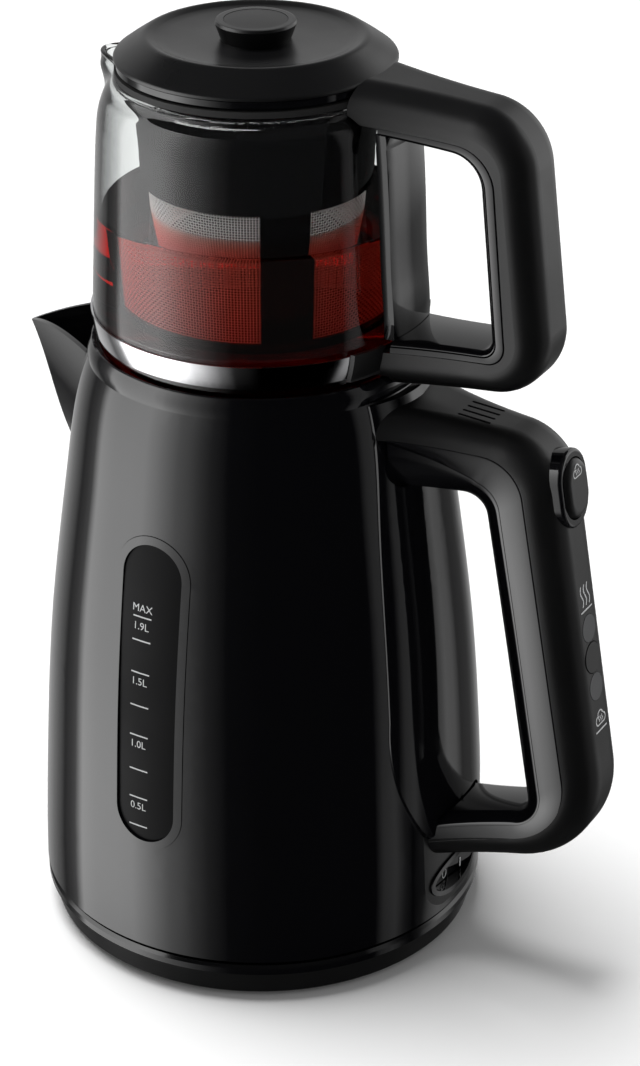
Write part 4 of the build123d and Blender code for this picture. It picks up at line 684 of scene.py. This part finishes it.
def on_rocker(points):
    """Places (across, up) on the rocker, each half sloping out from the middle, then tipped about its pin."""
    across = points[:, 0]
    out = ROCKER_FACE + np.abs(across) * math.sin(ROCKER_TILT) + ROCKER_INK - ROCKER_PIN
    sine, cosine = math.sin(-ROCKER_TILT), math.cos(-ROCKER_TILT)
    return np.stack([
        ROCKER_PIN + out * cosine - across * sine, out * sine + across * cosine, points[:, 1] + ROCKER_MIDDLE], -1)


nought = ring((-2.6, -2.4), 1.5, 2.0, width=0.55)
upright_line = stroke([(7.6, -4.2), (7.6, -2.2), (7.6, -0.2)], 0.6)
printed("switch_signs", [nought, upright_line], on_rocker, "rocker")


# ------------------------------------------------------------------ stage
def staged(name, vertices, faces, m):
    """An object of the studio, in metres; it is no piece of the part."""
    mesh = bpy.data.meshes.new(name)
    mesh.from_pydata(np.asarray(vertices, float).tolist(), [], np.asarray(faces).tolist())
    mesh.materials.append(m)
    o = bpy.data.objects.new(name, mesh)
    bpy.context.scene.collection.objects.link(o)
    return o


table_paint, tree = material("white_table")
paint = put(tree, "ShaderNodeBsdfPrincipled", Base_Color=(0.9, 0.9, 0.9, 1), Roughness=0.9, Specular_IOR_Level=0.0)
close_material(tree, paint.outputs["BSDF"])
table = staged("table", [(-6, -6, 0), (6, -6, 0), (6, 6, 0), (-6, 6, 0)], [(0, 1, 2, 3)], table_paint)
# glossy walls mirror the tent alone, and the table seen through glass is as white as the studio behind it
table.visible_glossy = False
table.visible_transmission = False

# light tent: cloth round the object, lit unevenly; (degrees round from TENT_FRONT, brightness)
TENT = np.array([
    (-180, 0.55), (-150, 0.55), (-140, 0.45), (-131, 0.3), (-126, 0.12), (-119, 0.25), (-114, 0.45), (-111, 1.3),
    (-107, 2.7), (-95, 3.0), (-80, 3.6), (-70, 3.8), (-62, 3.0), (-55, 2.1), (-48, 1.35), (-42, 1.0), (-36, 0.6),
    (-28, 0.22), (-18, 0.02), (0, 0.0), (58, 0.0), (63, 0.3), (70, 0.4), (76, 0.1), (82, 0.0), (88, 0.1), (93, 0.5),
    (101, 0.85), (110, 0.6), (118, 0.15), (133, 0.13), (141, 0.22), (150, 0.37), (165, 0.5), (180, 0.55)])
TENT_FRONT = 30.0       # degrees from -Y towards +X


def light_tent(radius, low, high, columns=361, rows=41):
    """Upright cylinder of cloth, seen in mirrors only.

    Its glow is a table over azimuth times a falling-off towards its lower edge, plus a panel on its upper half."""
    turn_deg = np.linspace(-180, 180, columns)
    a = np.radians(turn_deg + TENT_FRONT)
    z = np.linspace(low, high, rows)
    points = np.stack([
        np.repeat((radius * np.sin(a))[None], rows, 0), np.repeat((-radius * np.cos(a))[None], rows, 0),
        np.repeat(z[:, None], columns, 1)], -1).reshape(-1, 3)
    fall = smoothstep(-1.35, -0.55, z)
    glow = np.interp(turn_deg, TENT[:, 0], TENT[:, 1])[None, :] * (0.1 + 0.9 * fall)[:, None]
    upper_panel = smoothstep(92, 100, turn_deg) * (1 - smoothstep(142, 152, turn_deg))
    glow = (glow + upper_panel[None, :] * smoothstep(-0.2, 0.02, z)[:, None]).reshape(-1)
    m, tree = material("lit_tent_cloth")
    level = put(tree, "ShaderNodeAttribute", {"attribute_name": "glow"})
    cloth = put(tree, "ShaderNodeEmission", Color=(1, 1, 1, 1), Strength=level.outputs["Fac"])
    close_material(tree, cloth.outputs["Emission"])
    o = staged("light_tent", points, grid_faces(rows, columns), m)
    layer = o.data.attributes.new("glow", "FLOAT", "POINT")
    layer.data.foreach_set("value", glow.astype(np.float32))
    o.visible_camera = False
    o.visible_diffuse = False
    o.visible_transmission = False
    o.visible_shadow = False


light_tent(radius=1.3, low=-1.6, high=1.3)

# the studio is white where it is seen straight or through glass, softer as light, and dim in mirrors
world = bpy.data.worlds.new("studio")
world.use_nodes = True
bpy.context.scene.world = world
tree = world.node_tree
tree.nodes.clear()
ray = put(tree, "ShaderNodeLightPath")
white = put(tree, "ShaderNodeBackground", Color=(1, 1, 1, 1), Strength=1.0)
soft = put(tree, "ShaderNodeBackground", Color=(1, 1, 1, 1), Strength=0.34)
ceiling = put(tree, "ShaderNodeBackground", Color=(1, 1, 1, 1), Strength=0.04)
seen = put(tree, "ShaderNodeMath", {"operation": "MAXIMUM"}, i0=ray.outputs["Is Camera Ray"],
           i1=ray.outputs["Is Transmission Ray"])
lit = put(tree, "ShaderNodeMixShader", i0=seen.outputs[0], i1=soft.outputs[0], i2=white.outputs[0])
mirrored = put(tree, "ShaderNodeMath", {"operation": "GREATER_THAN"}, i0=ray.outputs["Glossy Depth"], i1=0.5)
mix = put(tree, "ShaderNodeMixShader", i0=mirrored.outputs[0], i1=lit.outputs[0], i2=ceiling.outputs[0])
put(tree, "ShaderNodeOutputWorld", Surface=mix.outputs[0])


def key_light(name, azimuth, height_deg, spread_deg, strength):
    """Broad even light from an azimuth (degrees, 0 = -Y, turning towards +X), seen in no mirror."""
    light = bpy.data.lights.new(name, "SUN")
    light.angle = math.radians(spread_deg)
    light.energy = strength
    o = bpy.data.objects.new(name, light)
    o.rotation_euler = (math.radians(90 - height_deg), 0, math.radians(azimuth))
    o.visible_glossy = False
    bpy.context.scene.collection.objects.link(o)


# the key stands to the left and high above, so a soft shadow falls close by on the right
key_light("key_light", azimuth=-95, height_deg=74, spread_deg=34, strength=3.2)

# ------------------------------------------------------------------ camera
camera = bpy.data.cameras.new("camera")
camera.sensor_width = 36.0
camera.lens = 102.89
camera.clip_end = 20.0
viewpoint = bpy.data.objects.new("camera", camera)
viewpoint.location = (0.51631, -0.89427, 0.68409)
viewpoint.rotation_euler = (math.radians(62.89), 0.0, math.radians(28.75))
bpy.context.scene.collection.objects.link(viewpoint)
bpy.context.scene.camera = viewpoint
bpy.context.scene.view_settings.view_transform = "Standard"
